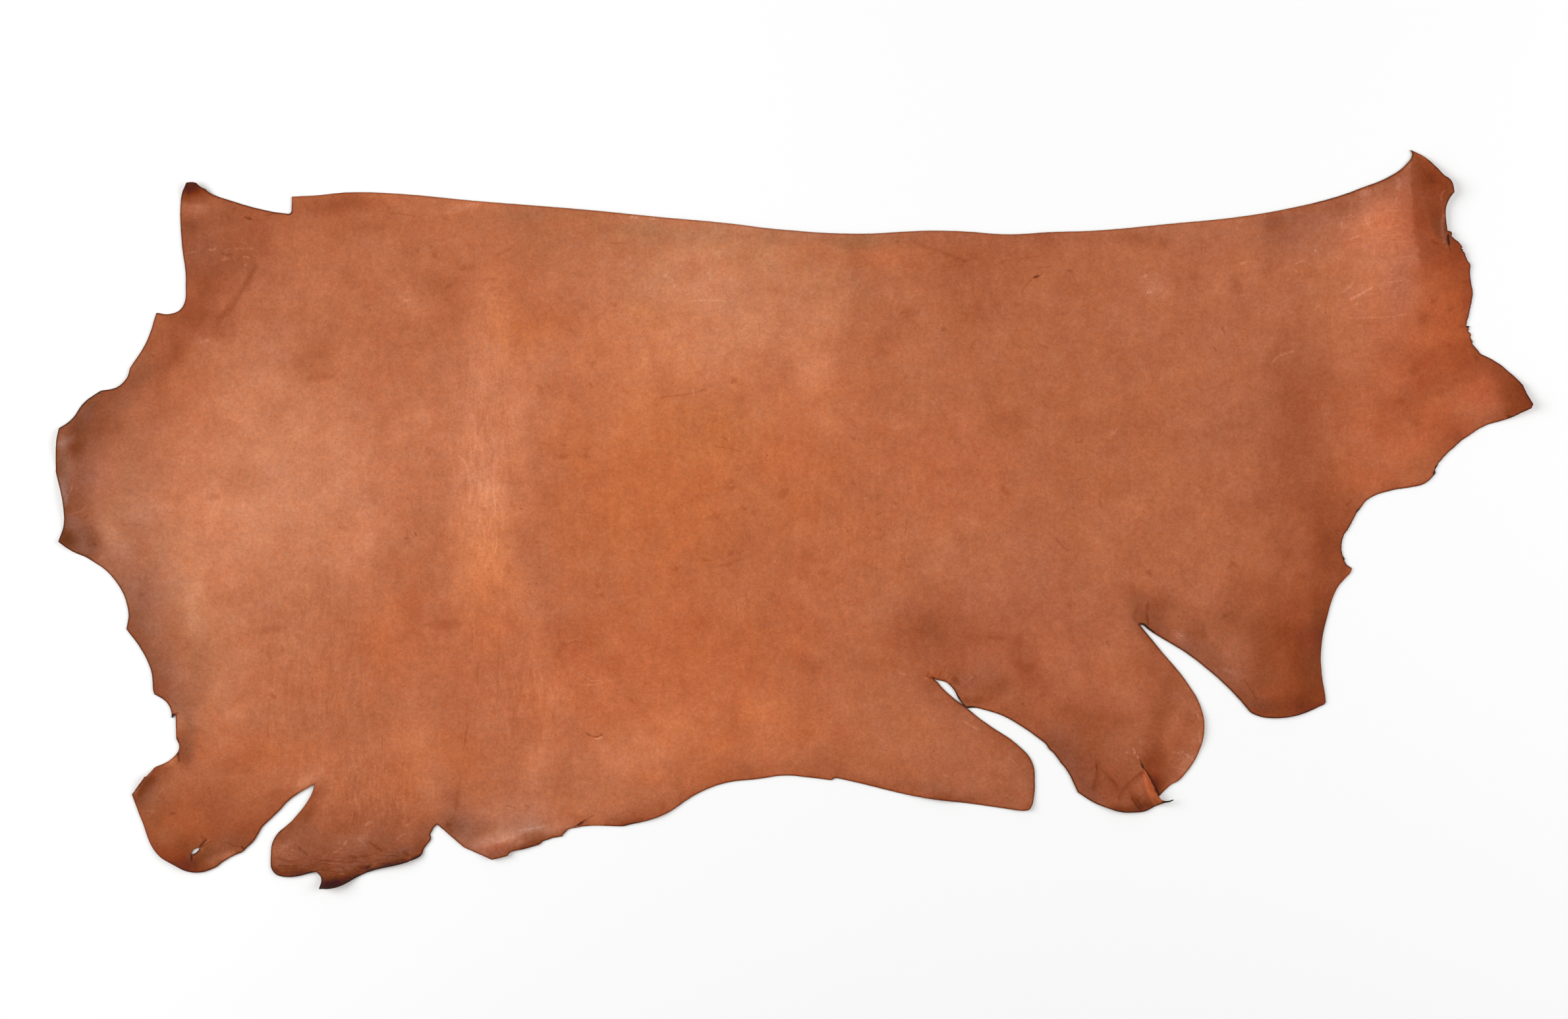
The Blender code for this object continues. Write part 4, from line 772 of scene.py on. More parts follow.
    (0.25, 1.8, (988, 488), (1000, 489), (1010, 491)),
    (0.25, 1.8, (1004, 438), (1016, 438), (1028, 440)),
    (0.25, 1.8, (994, 396), (1004, 397), (1012, 399)), (0.2, 2, (992, 409), (1004, 411)),
    (0.18, 3, (930, 535), (928, 515), (927, 500)),
    (0.18, 3, (905, 505), (912, 500), (914, 485), (915, 478)),
    (0.25, 2, (918, 505), (930, 506), (942, 505)), (0.35, 9, (946, 541), (953, 546), (960, 550)),
    (0.35, 7, (1008, 553), (1009, 562), (1007, 572)), (0.25, 8, (954, 505), (957, 492)),
    (0.3, 2, (948, 493), (951, 500)), (0.3, 2, (1003, 532), (1005, 537)),
    (0.25, 6, (951, 450), (955, 458)), (0.2, 2, (966, 445), (968, 442)),
    (0.5, 2.2, (1086, 550), (1081, 546), (1078, 538), (1081, 528)),
    (0.5, 3, (1035, 615), (1045, 608), (1056, 600)), (0.3, 4, (1083, 510), (1080, 495), (1081, 474)),
    (0.4, 4, (1086, 474), (1086, 464), (1089, 453)),
    (-1.25, 3.2, (1090.5, 476), (1090.5, 468), (1092, 458)), (-0.4, 1.6, (1093, 458), (1094, 450)),
    (-0.4, 2.5, (1065, 464), (1072, 460)), (-0.25, 8, (1062, 362), (1068, 366)),
    (-0.3, 8, (1094, 350), (1098, 353)), (-0.25, 4, (1030, 556), (1030, 562)),
    (-0.15, 3, (1125, 397), (1112, 396)),
    (0.12, 12, (-1007, -339), (-985, -345), (-955, -362), (-924, -380)),
    (0.15, 9, (-793, -413), (-769, -434)),
    # the hooked flap
    (0.35, 5, (-717, -512), (-711, -507), (-704, -504)),
    (0.3, 3.5, (-729, -533), (-722, -538), (-715, -545)), (0.25, 6, (-728, -530), (-718, -528)),
    (0.35, 3, (-753, -544), (-746, -536)), (0.3, 2.4, (-769, -557), (-762, -553), (-757, -549)),
    (0.35, 3, (-664, -534), (-655, -527), (-648, -524)), (0.3, 4, (-648, -513), (-641, -508)),
    (0.3, 2, (-776, -562), (-770, -563)), (0.25, 9, (-855, -548), (-846, -541), (-838, -538)),
    (0.3, 2.4, (-840, -551), (-834, -553)), (-0.4, 2.6, (-710, -538), (-703, -543), (-698, -549)),
    (-0.4, 2.6, (-696, -549), (-688, -554)), (-0.4, 2.6, (-828, -547), (-823, -552)),
    (-0.4, 2.4, (-820, -553), (-813, -559)), (-0.3, 6, (-654, -555), (-643, -560)),
    (-0.7, 4, (-713, -582), (-709, -577)), (0.3, 3, (-704, -580), (-700, -576)),
    (-0.3, 1.8, (-848, -569), (-838, -571), (-826, -569)),
    (-0.3, 1.8, (-800, -567), (-780, -571), (-760, -569)),
    (-0.3, 1.8, (-745, -562), (-725, -564), (-705, -560)),
    (-0.3, 1.8, (-860, -577), (-846, -579), (-832, -577)),
    (-0.3, 1.8, (-690, -561), (-675, -560), (-662, -562)), (0.25, 1.6, (-842, -576), (-836, -578)),
    (0.2, 1.8, (-790, -580), (-770, -584), (-745, -580)),
    (0.2, 1.8, (-735, -569), (-715, -570), (-700, -567)),
    (-0.6, 7, (-712, -586), (-690, -582), (-668, -577), (-648, -570)),
    (-0.5, 6, (-640, -568), (-622, -560)),
    (-0.65, 14, (-795, -614), (-770, -613), (-748, -605), (-728, -596)),
    (-0.2, 14, (-785, -600), (-760, -597)),
    (-0.4, 6, (-870, -580), (-860, -592), (-835, -592), (-805, -588)),
    (-0.5, 5, (-692, -578), (-676, -575), (-660, -572)), (-0.45, 6, (-716, -583), (-711, -579)),
    # the belly edge
    (-0.35, 2, (-544, -340), (-548, -360), (-550, -375)),
    (-0.15, 3, (-557, -430), (-559, -445), (-561, -458), (-563, -472), (-567, -490)),
    (-0.2, 1.8, (-627, -455), (-628, -470)),
    (-0.6, 1.8, (-347, -357), (-341, -361), (-335, -362), (-329, -363), (-324, -360)),
    (0.6, 2.2, (-332, -366), (-327, -366), (-323, -363)), (0.3, 1.8, (-481, -481), (-474, -482)),
    (-0.35, 1.6, (-480, -478), (-470, -480)), (-0.3, 2, (-447, -478), (-445, -479)),
    (0.35, 2.2, (-458, -518), (-440, -516), (-425, -513), (-418, -511)),
    (-0.35, 7, (-580, -506), (-577, -515)), (-0.35, 6, (-290, -508), (-272, -505), (-254, -500)),
    (-0.3, 4, (-576, -516), (-572, -524)),
    (-0.2, 2.2, (-562, -440), (-563, -460), (-566, -482), (-570, -500)),
    (-0.5, 1.5, (-334, -493), (-345, -499), (-357, -507), (-368, -513)),
    (-0.8, 2, (-370, -514), (-366, -516)),
    # round the long slit
    (-0.6, 1.6, (223, -256), (222, -262), (226, -265)), (-0.35, 1.8, (241, -263), (244, -256)),
    (0.3, 2, (252, -256), (254, -250)), (0.35, 2.2, (251, -264), (255, -258)),
    (0.3, 2.4, (254, -275), (258, -268), (261, -262)),
    (0.25, 2.4, (281, -278), (285, -272), (291, -268), (297, -262), (291, -259)),
    (0.35, 2, (272, -283), (275, -282)), (0.2, 3, (285, -338), (296, -345), (307, -350)),
    (0.3, 2, (325, -366), (329, -369)), (0.3, 2, (343, -436), (346, -440)),
    (0.3, 2, (353, -457), (356, -462)), (0.3, 2, (360, -399), (370, -409)),
    (0.25, 3, (248, -426), (256, -429)), (-0.3, 3, (379, -306), (382, -309)),
    (0.35, 4, (227, -253), (230, -256)), (0.35, 4, (218, -265), (222, -267)),
    (-1.0, 3.2, (288, -312.6), (293, -313.2), (299, -313.6)), (-0.5, 2, (281, -308.5), (288, -313.5)),
    (-0.8, 1.6, (262, -280), (270, -292), (279, -306)), (0.4, 4, (285, -337), (289, -341)),
    (0.25, 3, (294, -344), (304, -349)),
    # the end of the long notch, and the wrinkles of the hooked flap
    (-1.1, 2.6, (575.5, -173.6), (580, -174), (584.5, -175.2), (588, -179.5), (593, -183.5),
     (600, -188.5)),
    (-0.45, 3, (590, -177), (589, -168), (587.5, -158)),
    (-0.25, 6, (570, -150), (566, -160), (570, -170)),
    (-0.35, 3, (-652, -557), (-646, -561), (-641, -559)),
    (0.25, 1.8, (-650, -555.5), (-645, -558), (-641, -556)),
    (-0.3, 2.4, (-698, -542), (-694, -549), (-688, -554)),
    (0.2, 1.6, (-686, -555), (-680, -553.5), (-673, -553)),
    (0.2, 1.6, (-684, -558.5), (-675, -557.5), (-668, -557)),
    (-0.2, 1.8, (-685, -556.8), (-676, -555.4), (-669, -555)),
    (-0.5, 6, (-672, -574), (-662, -571.5), (-650, -567.5)),
    # round the slit in the round flap
    (0.7, 2.4, (565, -382), (567, -386), (568, -391), (571, -395), (574, -399)),
    (0.2, 6, (577, -384), (578, -391)), (0.2, 7, (574, -371), (584, -370)),
    (0.2, 6, (556, -386), (555, -392)), (-0.8, 1.8, (576, -401), (578, -405)),
    (-1.25, 2.8, (579, -408), (580.5, -411.5), (582.5, -415.5)), (-0.6, 2, (577, -403), (579, -407)),
    (0.3, 3, (631, -387), (640, -389), (650, -388)), (0.3, 4, (652, -391), (662, -397), (668, -404)),
    (0.25, 3, (672, -325), (678, -333)), (0.3, 3, (675, -355), (677, -372)),
    (0.25, 2, (630, -412), (642, -415), (652, -418)), (0.35, 3, (653, -278), (656, -285)),
    (0.3, 2, (634, -184), (640, -190)), (0.4, 3, (642, -190), (648, -197)),
    (0.3, 2, (636, -192), (641, -198)), (0.25, 5, (714, -249), (727, -254), (740, -259)),
    (-0.3, 2, (752, -270), (762, -285), (770, -298)), (-0.6, 1.8, (503, -409), (504.5, -417)),
    (-0.2, 2.4, (504, -417), (503, -432), (499, -446)),
    (-0.2, 2.6, (526, -430), (532, -438), (539, -444)),
    (-0.3, 4, (579, -421), (573, -427), (567, -431)),
    (-0.15, 2.6, (565, -433), (556, -441), (549, -450)), (-0.2, 2.4, (543, -458), (541, -466)),
    (-0.3, 3, (562, -464), (566, -470), (571, -478), (577, -484)),
    (-0.25, 3, (570, -466), (575, -473), (582, -481)), (-0.2, 5, (584, -474), (590, -478), (598, -477)),
    (-0.9, 3, (613, -470), (622, -470), (633, -466)),
    (0.35, 1.6, (584, -419), (590, -432), (596, -444), (599, -450)),
    (-0.4, 2, (583, -421), (588, -432), (593, -441)))

drawnShading = dict(
    # closed shapes with a crisp side: tone, haze, softness in mm, then the corners
    # painted shade over the neck tip and beside the lip, and painted light on the lit face of the standing
    # lip
    litLipFace=(
        0.62, -1.6, 1.5, (583, -418), (588, -427), (594, -439), (600, -451), (606, -461), (611, -468),
        (607, -474), (600, -477), (594, -468), (588, -455), (584, -440), (582, -428)),
    neckShade=(
        -0.5, 0.0, 34.0, (1040, 600), (1045, 540), (1052, 500), (1068, 485), (1078, 505), (1082, 530),
        (1101, 552), (1089, 573)),
    lipShadow=(
        -0.6, 0.0, 4.0, (584, -416), (591, -426), (599, -440), (608, -455), (611, -461), (608, -463),
        (600, -450), (592, -434)))

# the dark line along the arris: partly the cut edge's own dark, partly painted shade
arrisCutAndShadeLine = dict(strength=1.9, reach=1.4)                # of the dark line along the arris
strokeMake = dict(
    end=0.45,            # how thick a stroke is at its ends, as a share of its width
    step=1.6,            # between its mesh points, in mm
    wide=3,              # from this width on it has five lines of points and not three
    clear=1.5,           # how far the plain mesh keeps from them
    apart=0.6)           # and how close they come to each other
patchRuffles = ((0.22, 60, 2.2), (0.12, 24, 6.4))     # amount, size, seed: how their sides are broken up


def ruffled(x, y, size, seed):
    return np.array([noise.noise(Vector((px / size, py / size, seed))) for px, py in zip(x, y)])


def patched(patches, x, y, ruffle):
    # ruffle breaks up each patch's outline, so that none shows as an oval
    total = np.zeros_like(x)
    for centreX, centreY, turn, length, width, amount in patches:
        longWay, crossWay = across(x - centreX, y - centreY, turn)
        share = np.hypot(2 * longWay / length, 2 * crossWay / width) * ruffle
        total += amount * faded(share)
    return total


def treeOf(points):
    tree = kdtree.KDTree(len(points))
    for index, point in enumerate(points):
        tree.insert((point[0], point[1], 0), index)
    tree.balance()
    return tree


def farFromTree(tree, points):
    return np.array([tree.find((point[0], point[1], 0))[2] for point in points])


def farFromRun(x, y, run):
    # how far each place is from the line through the run, how far along it the nearest point is,
    # and whether the place is on its left
    far = np.full(len(x), 1e9)
    share = np.zeros(len(x))
    leftHand = np.zeros(len(x), bool)
    lengths = np.hypot(*np.diff(run, axis=0).T)
    total = lengths.sum()
    done = 0.0
    for (ax, ay), (bx, by), length in zip(run[:-1], run[1:], lengths):
        part = np.clip(((x - ax) * (bx - ax) + (y - ay) * (by - ay)) / length ** 2, 0, 1)
        gap = np.hypot(x - ax - part * (bx - ax), y - ay - part * (by - ay))
        share = np.where(gap < far, (done + part * length) / total, share)
        leftHand = np.where(gap < far, (bx - ax) * (y - ay) > (by - ay) * (x - ax), leftHand)
        far = np.minimum(far, gap)
        done += length
    return far, share, leftHand


def roundAbout(x, y, run, margin):
    # which places are in the box round the run, with a margin
    low, high = run.min(axis=0) - margin, run.max(axis=0) + margin
    return np.flatnonzero((x > low[0]) & (x < high[0]) & (y > low[1]) & (y < high[1]))


def reached(x, y, run, width):
    # which places are within width of the run, how far they are from it and how far along it
    near = roundAbout(x, y, run, width)
    far, share, leftHand = farFromRun(x[near], y[near], run)
    inside = far < width
    return near[inside], far[inside], share[inside], leftHand[inside]


def fullInTheMiddle(share):
    # 0 at both ends of a run and 1 halfway along it
    return np.sqrt(np.clip(4 * share * (1 - share), 0, 1))


def creaseHeight(x, y):
    height = np.zeros(len(x))
    for rise, width, *places in creases:
        near, far, share, _ = reached(x, y, np.array(places, dtype=float), width)
        height[near] += rise * faded(far / width) * fullInTheMiddle(share)
    crinkle = np.clip(patched(crinklePatches, x, y, 1), 0, 1)
    near = np.flatnonzero(crinkle > 0)
    drawnOut = x[near] * wrinkleRelief["short"] / wrinkleRelief["long"]
    folds = ruffled(drawnOut, y[near], wrinkleRelief["short"], wrinkleRelief["seed"])
    height[near] += wrinkleRelief["rise"] * crinkle[near] * folds
    return height


def washedShading(x, y):
    # painted shade and light, fading away from each run as far as it reaches on each side
    tone = np.zeros_like(x)
    haze = np.zeros_like(x)
    for toneBy, hazeAndSheenBy, left, right, *places in shadingWashes:
        near, far, _, leftHand = reached(x, y, np.array(places, dtype=float), max(left, right))
        share = faded(np.clip(far / np.where(leftHand, left, right), 0, 1))
        tone[near] += toneBy * share
        haze[near] += hazeAndSheenBy * share
    return tone, haze


def paintedRimShade(x, y, stretches):
    # stretches: the placed edge points of each part of the outline
    # painted shade that darkens each rim, and the dark arris line, partly cut edge and partly painted
    # shade
    shade = np.zeros_like(x)
    edgeAndShadeInk = np.zeros_like(x)
    for name, points in stretches.items():
        depth, reach, dark = rimPaintedShades[name]
        far = farFromTree(treeOf(points), list(zip(x, y)))
        shade = np.maximum(shade, depth * np.exp(-far / reach))
        edgeAndShadeInk = np.maximum(edgeAndShadeInk, dark * np.clip(arrisCutAndShadeLine["strength"] - far / arrisCutAndShadeLine["reach"], 0, 1))
    return shade, edgeAndShadeInk


def markedAndShaded(x, y):
    # pale and dark strokes, full in the middle and thin at both ends
    total = np.zeros(len(x))
    for amount, width, *places in marksAndShading:
        near, far, share, _ = reached(x, y, np.array(places, dtype=float), width)
        thin = width * (strokeMake["end"] + (1 - strokeMake["end"]) * fullInTheMiddle(share))
        stroke = amount * np.clip(1 - (far / thin) ** 2, 0, 1)
        total[near] = np.where(abs(stroke) > abs(total[near]), stroke, total[near])
    return total


def covered(x, y, corners, soft):
    # 1 inside a drawn shape, fading to 0 over soft mm across its side
    cover = np.zeros(len(x))
    near = roundAbout(x, y, corners, soft)
    far, _, _ = farFromRun(x[near], y[near], np.vstack([corners, corners[:1]]))
    inside = insideLoop(x[near], y[near], corners)
    cover[near] = np.clip(0.5 + np.where(inside, far, -far) / soft, 0, 1)
    return cover


def strokePoints():
    # mesh points that follow the strokes and the creases, in lines beside each other
    found = []
    for _, width, *places in marksAndShading + creases:
        run = np.array(places, dtype=float)
        lengths = np.hypot(*np.diff(run, axis=0).T)
        along = np.concatenate([[0], np.cumsum(lengths)])
        count = max(2, round(along[-1] / max(strokeMake["step"], 0.5 * width)) + 1)
        at = np.linspace(0, along[-1], count)
        middle = np.stack([np.interp(at, along, run[:, 0]), np.interp(at, along, run[:, 1])], axis=1)
        way = np.gradient(middle, axis=0)
        way /= np.maximum(np.hypot(way[:, 0], way[:, 1]), 1e-6)[:, None]
        side = np.stack([-way[:, 1], way[:, 0]], axis=1)
        offsets = (-1.0, 0.0, 1.0) if width < strokeMake["wide"] else (-1.0, -0.5, 0.0, 0.5, 1.0)
        for offset in offsets:
            found.extend(middle + side * offset * width)
    return np.array(found)


def staggered(pitch, low, high):
    rows = np.arange(low[1], high[1], pitch * math.sqrt(0.75))
    cols = np.arange(low[0], high[0], pitch)
    return np.array([(x + (row % 2) * pitch / 2, y) for row, y in enumerate(rows) for x in cols])


def inArea(points, area):
    x, y, length, width, _ = area
    return np.hypot((points[:, 0] - x) / (length / 2), (points[:, 1] - y) / (width / 2)) < 1


def grainPoints(make, low, high):
    # the plain mesh, closer in the fine areas, with the strokes' own points let in
    plain = staggered(make["pitch"], low, high)
    found = []
    for area in fineAreas:
        x, y, length, width, pitch = area
        plain = plain[~inArea(plain, area)]
        close = staggered(pitch, (x - length / 2, y - width / 2), (x + length / 2, y + width / 2))
        found.append(close[inArea(close, area)])
    strokes = strokePoints()
    found = np.vstack([plain] + found)
    clear = farFromTree(treeOf(strokes), found) > strokeMake["clear"]
    kept = []
    taken = set()
    for point in strokes:
        cell = (round(point[0] / strokeMake["apart"]), round(point[1] / strokeMake["apart"]))
        if cell not in taken:
            taken.add(cell)
            kept.append(point)
    return np.vstack([found[clear], np.array(kept)])


def insideLoop(x, y, loop):
    odd = np.zeros(len(x), bool)
    for (ax, ay), (bx, by) in zip(loop, np.roll(loop, -1, axis=0)):
        spans = (ay > y) != (by > y)
        if ay != by:
            odd ^= spans & (x < (bx - ax) * (y - ay) / (by - ay) + ax)
    return odd


def triangulated(loops, inner):
    # triangles inside the first loop and outside the others, on the loops' points and the inner ones
    points = [Vector(point) for loop in loops for point in loop] + [Vector(point) for point in inner]
    edges = []
    start = 0
    for loop in loops:
        edges += [(start + i, start + (i + 1) % len(loop)) for i in range(len(loop))]
        start += len(loop)
    placed, _, faces, origins, _, _ = geometry.delaunay_2d_cdt(points, edges, [], 0, 1e-4)
    placed = np.array([point[:] for point in placed])
    faces = np.array(faces)
    middle = placed[faces].mean(axis=1)
    keep = insideLoop(middle[:, 0], middle[:, 1], loops[0])
    for loop in loops[1:]:
        keep &= ~insideLoop(middle[:, 0], middle[:, 1], loop)
    source = np.array([old[0] if old else -1 for old in origins])
    return placed, faces[keep], source


def innerPoints(make, loops, outs):
    # the mesh points inside the edge, first for the grain side and then for the flesh side
    rimTree = treeOf(np.vstack(loops))
    low, high = loops[0].min(axis=0), loops[0].max(axis=0)

    def spaced(points, gap):
        return [tuple(point) for point, far in zip(points, farFromTree(rimTree, points)) if far > gap]

    arris, rimEnd = (np.vstack([loop - out * make[name] for loop, out in zip(loops, outs)])
                     for name in ("arris", "rimEnd"))
    spread = spaced(grainPoints(make, low, high), make["arris"] + make["arrisClear"])
    ring = spaced(rimEnd, make["rimEnd"] * make["rimEndKept"])
    fromSpread = farFromTree(treeOf(spread), ring)
    ring = [point for point, far in zip(ring, fromSpread) if far > make["rimEndClear"]]
    above = spaced(arris, make["arris"] * make["arrisKept"]) + ring + spread

    plain = staggered(make["underPitch"], low, high)
    close = staggered(make["pitch"], low, high)
    flat = lying(plain[:, 0], plain[:, 1]) < make["lifted"]
    raised = lying(close[:, 0], close[:, 1]) > make["lifted"]
    below = spaced(plain[flat], make["flatClear"]) + spaced(close[raised], make["raisedClear"])
    return above, below


def closedMesh(make, loops, outs):
    # one closed mesh: grain side, flesh side and the cut edge between
    above, below = innerPoints(make, loops, outs)
    top, topFaces, topFrom = triangulated(loops, above)
    under, underFaces, underFrom = triangulated(loops, below)
    report(f"{len(top)} grain points, {len(under)} flesh points")

    rim = sum(len(loop) for loop in loops)
    topZ = lying(top[:, 0], top[:, 1]) + make["thickness"] + creaseHeight(top[:, 0], top[:, 1])
    underZ = lying(under[:, 0], under[:, 1])
    topZ[(topFrom >= 0) & (topFrom < rim)] -= make["arrisDrop"]
    build = bmesh.new()
    tops = [build.verts.new((x * mm, y * mm, z * mm)) for (x, y), z in zip(top, topZ)]
    unders = [build.verts.new((x * mm, y * mm, z * mm)) for (x, y), z in zip(under, underZ)]
    for face in topFaces:
        build.faces.new([tops[index] for index in face]).material_index = 0
    for face in underFaces:
        build.faces.new([unders[index] for index in reversed(face)]).material_index = 2
    topRim, underRim = ({old: vert for old, vert in zip(source, verts) if 0 <= old < rim}
                        for source, verts in ((topFrom, tops), (underFrom, unders)))
    start = 0
    for loop, out in zip(loops, outs):
        count = len(loop)
        middle = []
        for index in range(count):
            place = loop[index] + out[index] * make["bulge"]
            z = 0.5 * (topRim[start + index].co.z + underRim[start + index].co.z)
            middle.append(build.verts.new((place[0] * mm, place[1] * mm, z)))
        for index in range(count):
            after = (index + 1) % count
            upper = (topRim[start + index], topRim[start + after])
            lower = (underRim[start + index], underRim[start + after])
            build.faces.new([upper[0], upper[1], middle[after], middle[index]]).material_index = 1
            build.faces.new([middle[index], middle[after], lower[1], lower[0]]).material_index = 1
        start += count
    loose = [vert for vert in build.verts if not vert.link_faces]
    bmesh.ops.delete(build, geom=loose, context="VERTS")
    bmesh.ops.recalc_face_normals(build, faces=build.faces)
    for face in build.faces:
        face.smooth = True
    for side in build.edges:
        if len({face.material_index == 2 for face in side.link_faces}) == 2:
            side.smooth = False
    mesh = bpy.data.meshes.new("hideSheet")
    build.to_mesh(mesh)
    build.free()
    return mesh


def paint(mesh, name, values):
    layer = mesh.attributes.new(name, "FLOAT", "POINT")
    layer.data.foreach_set("value", np.asarray(values, dtype=np.float32))


def paintColourAndShading(mesh, x, y, edge):
    # the colour of each place, painted shade and light among it, is kept on the mesh, for the finish to
    # read
    knots = {name: np.array([row[:2] for row in rows]) for name, rows in outline.items()}
    gaps = [np.hypot(edge[:, :1] - points[:, 0], edge[:, 1:] - points[:, 1]).min(axis=1)
            for points in knots.values()]
    nearest = np.argmin(gaps, axis=0)
    shade, edgeAndShadeInk = paintedRimShade(x, y, {name: edge[nearest == index] for index, name in enumerate(knots)})

    ruffle = 1
    for amount, size, seed in patchRuffles:
        ruffle = ruffle + amount * ruffled(x, y, size, seed)
    tone = patched(tonePatches, x, y, ruffle) - shade
    haze = patched(hazeAndSheenPatches, x, y, ruffle)
    shadingTone, shadingHaze = washedShading(x, y)
    tone += shadingTone
    haze += shadingHaze
    for toneBy, hazeAndSheenBy, soft, *corners in drawnShading.values():
        cover = covered(x, y, np.array(corners), soft)
        tone += toneBy * cover
        haze += hazeAndSheenBy * cover
    # tone and haze hold painted shade and light beside the leather's own colour, and the mark holds
    # painted shadows in slits and along the arris with the scratches
    paint(mesh, "tone", tone)
    paint(mesh, "haze", haze)
    paint(mesh, "blush", patched(blushPatches, x, y, ruffle))
    paint(mesh, "scuff", patched(scuffPatches, x, y, ruffle))
    paint(mesh, "crinkle", patched(crinklePatches, x, y, ruffle))
    paint(mesh, "mark", markedAndShaded(x, y) - edgeAndShadeInk)


def buildSheet(make):
    corners = {row[:2] for rows in outline.values() for row in rows if len(row) > 2}
    edge = knifeWobble(splineLoop(sum(outline.values(), ()), make["edgeStep"]), corners, make)
    hole = splineLoop(tornHole, make["holeStep"])
    mesh = closedMesh(make, [edge, hole], [outwardNormals(edge), -outwardNormals(hole)])
    place = np.empty(3 * len(mesh.vertices))
    mesh.vertices.foreach_get("co", place)
    x, y = place[0::3] / mm, place[1::3] / mm
    paintColourAndShading(mesh, x, y, edge)

    # what curls up is drawn in a little, so that the outline holds when it is seen from overhead
    inward = 1 - rolling(x, y) / make["eye"]
    place[0::3] *= inward
    place[1::3] *= inward
    mesh.vertices.foreach_set("co", place)
    mesh.update()
    sheet = bpy.data.objects.new("hideSheet", mesh)
    bpy.context.scene.collection.objects.link(sheet)
    return sheet


sheet = buildSheet(sheetMake)
report(f"{len(sheet.data.polygons)} faces")


class Flow:
    # a number on its way through a material, so that sums on it read as sums
    def __init__(self, finish, socket):
        self.finish = finish
        self.socket = socket

    def sum(self, operation, *values):
        made = self.finish.node("ShaderNodeMath", dict(operation=operation), dict(enumerate(values)))
        return Flow(self.finish, made.outputs[0])

    def __add__(self, other):
        return self.sum("ADD", self, other)

    def __radd__(self, other):
        return self.sum("ADD", other, self)

    def __sub__(self, other):
        return self.sum("SUBTRACT", self, other)

    def __rsub__(self, other):
        return self.sum("SUBTRACT", other, self)

    def __mul__(self, other):
        return self.sum("MULTIPLY", self, other)

    def __rmul__(self, other):
        return self.sum("MULTIPLY", other, self)

    def __truediv__(self, other):
        return self.sum("DIVIDE", self, other)

    def __rpow__(self, other):
        return self.sum("POWER", other, self)

    def __abs__(self):
        return self.sum("ABSOLUTE", self)

    def __neg__(self):
        return self.sum("MULTIPLY", self, -1.0)

    def above(self, other):
        return self.sum("MAXIMUM", self, other)

    def below(self, other):
        return self.sum("MINIMUM", self, other)


class Finish:
    def __init__(self, name, **constants):
        self.material = bpy.data.materials.new(name)
        self.material.use_nodes = True
        self.tree = self.material.node_tree
        self.shader = self.tree.nodes["Principled BSDF"]
        for socket, value in constants.items():
            self.shader.inputs[socket.replace("_", " ")].default_value = value
        self.place = self.node("ShaderNodeTexCoord").outputs["Object"]

    def node(self, kind, settings=None, values=None):
        made = self.tree.nodes.new(kind)
        for name, value in (settings or {}).items():
            if name == "stops":
                ramp = made.color_ramp.elements
                while len(ramp) < len(value):
                    ramp.new(0.5)
                for stop, (position, colour) in zip(ramp, value):
                    stop.position = position
                    stop.color = colour
            else:
                setattr(made, name, value)
        for name, value in (values or {}).items():
            if isinstance(value, Flow):
                value = value.socket
            if isinstance(value, bpy.types.NodeSocket):
                self.tree.links.new(value, made.inputs[name])
            else:
                made.inputs[name].default_value = value
        return made

    def painted(self, name):
        return Flow(self, self.node("ShaderNodeAttribute", dict(attribute_name=name)).outputs["Fac"])

    def moved(self, operation, *values):
        made = self.node("ShaderNodeVectorMath", dict(operation=operation), dict(enumerate(values)))
        return made.outputs["Vector"]

    def stretched(self, place, scale):
        made = self.node("ShaderNodeMapping", dict(vector_type="POINT"), {"Vector": place, "Scale": scale})
        return made.outputs["Vector"]

    def clouds(self, size, detail=2.0, rough=0.5, place=None):
        # noise about nought, with blotches about size mm across
        made = self.node("ShaderNodeTexNoise", dict(noise_dimensions="3D", normalize=True), {
            "Vector": place or self.place, "Scale": 1 / (size * mm),
            "Detail": detail, "Roughness": rough})
        return Flow(self, made.outputs["Fac"]) - 0.5

    def mixed(self, share, first, second):
        made = self.node("ShaderNodeMix", dict(data_type="RGBA"), {"Factor": share, 6: first, 7: second})
        return made.outputs[2]

    def feed(self, name, value):
        self.tree.links.new(value.socket if isinstance(value, Flow) else value, self.shader.inputs[name])


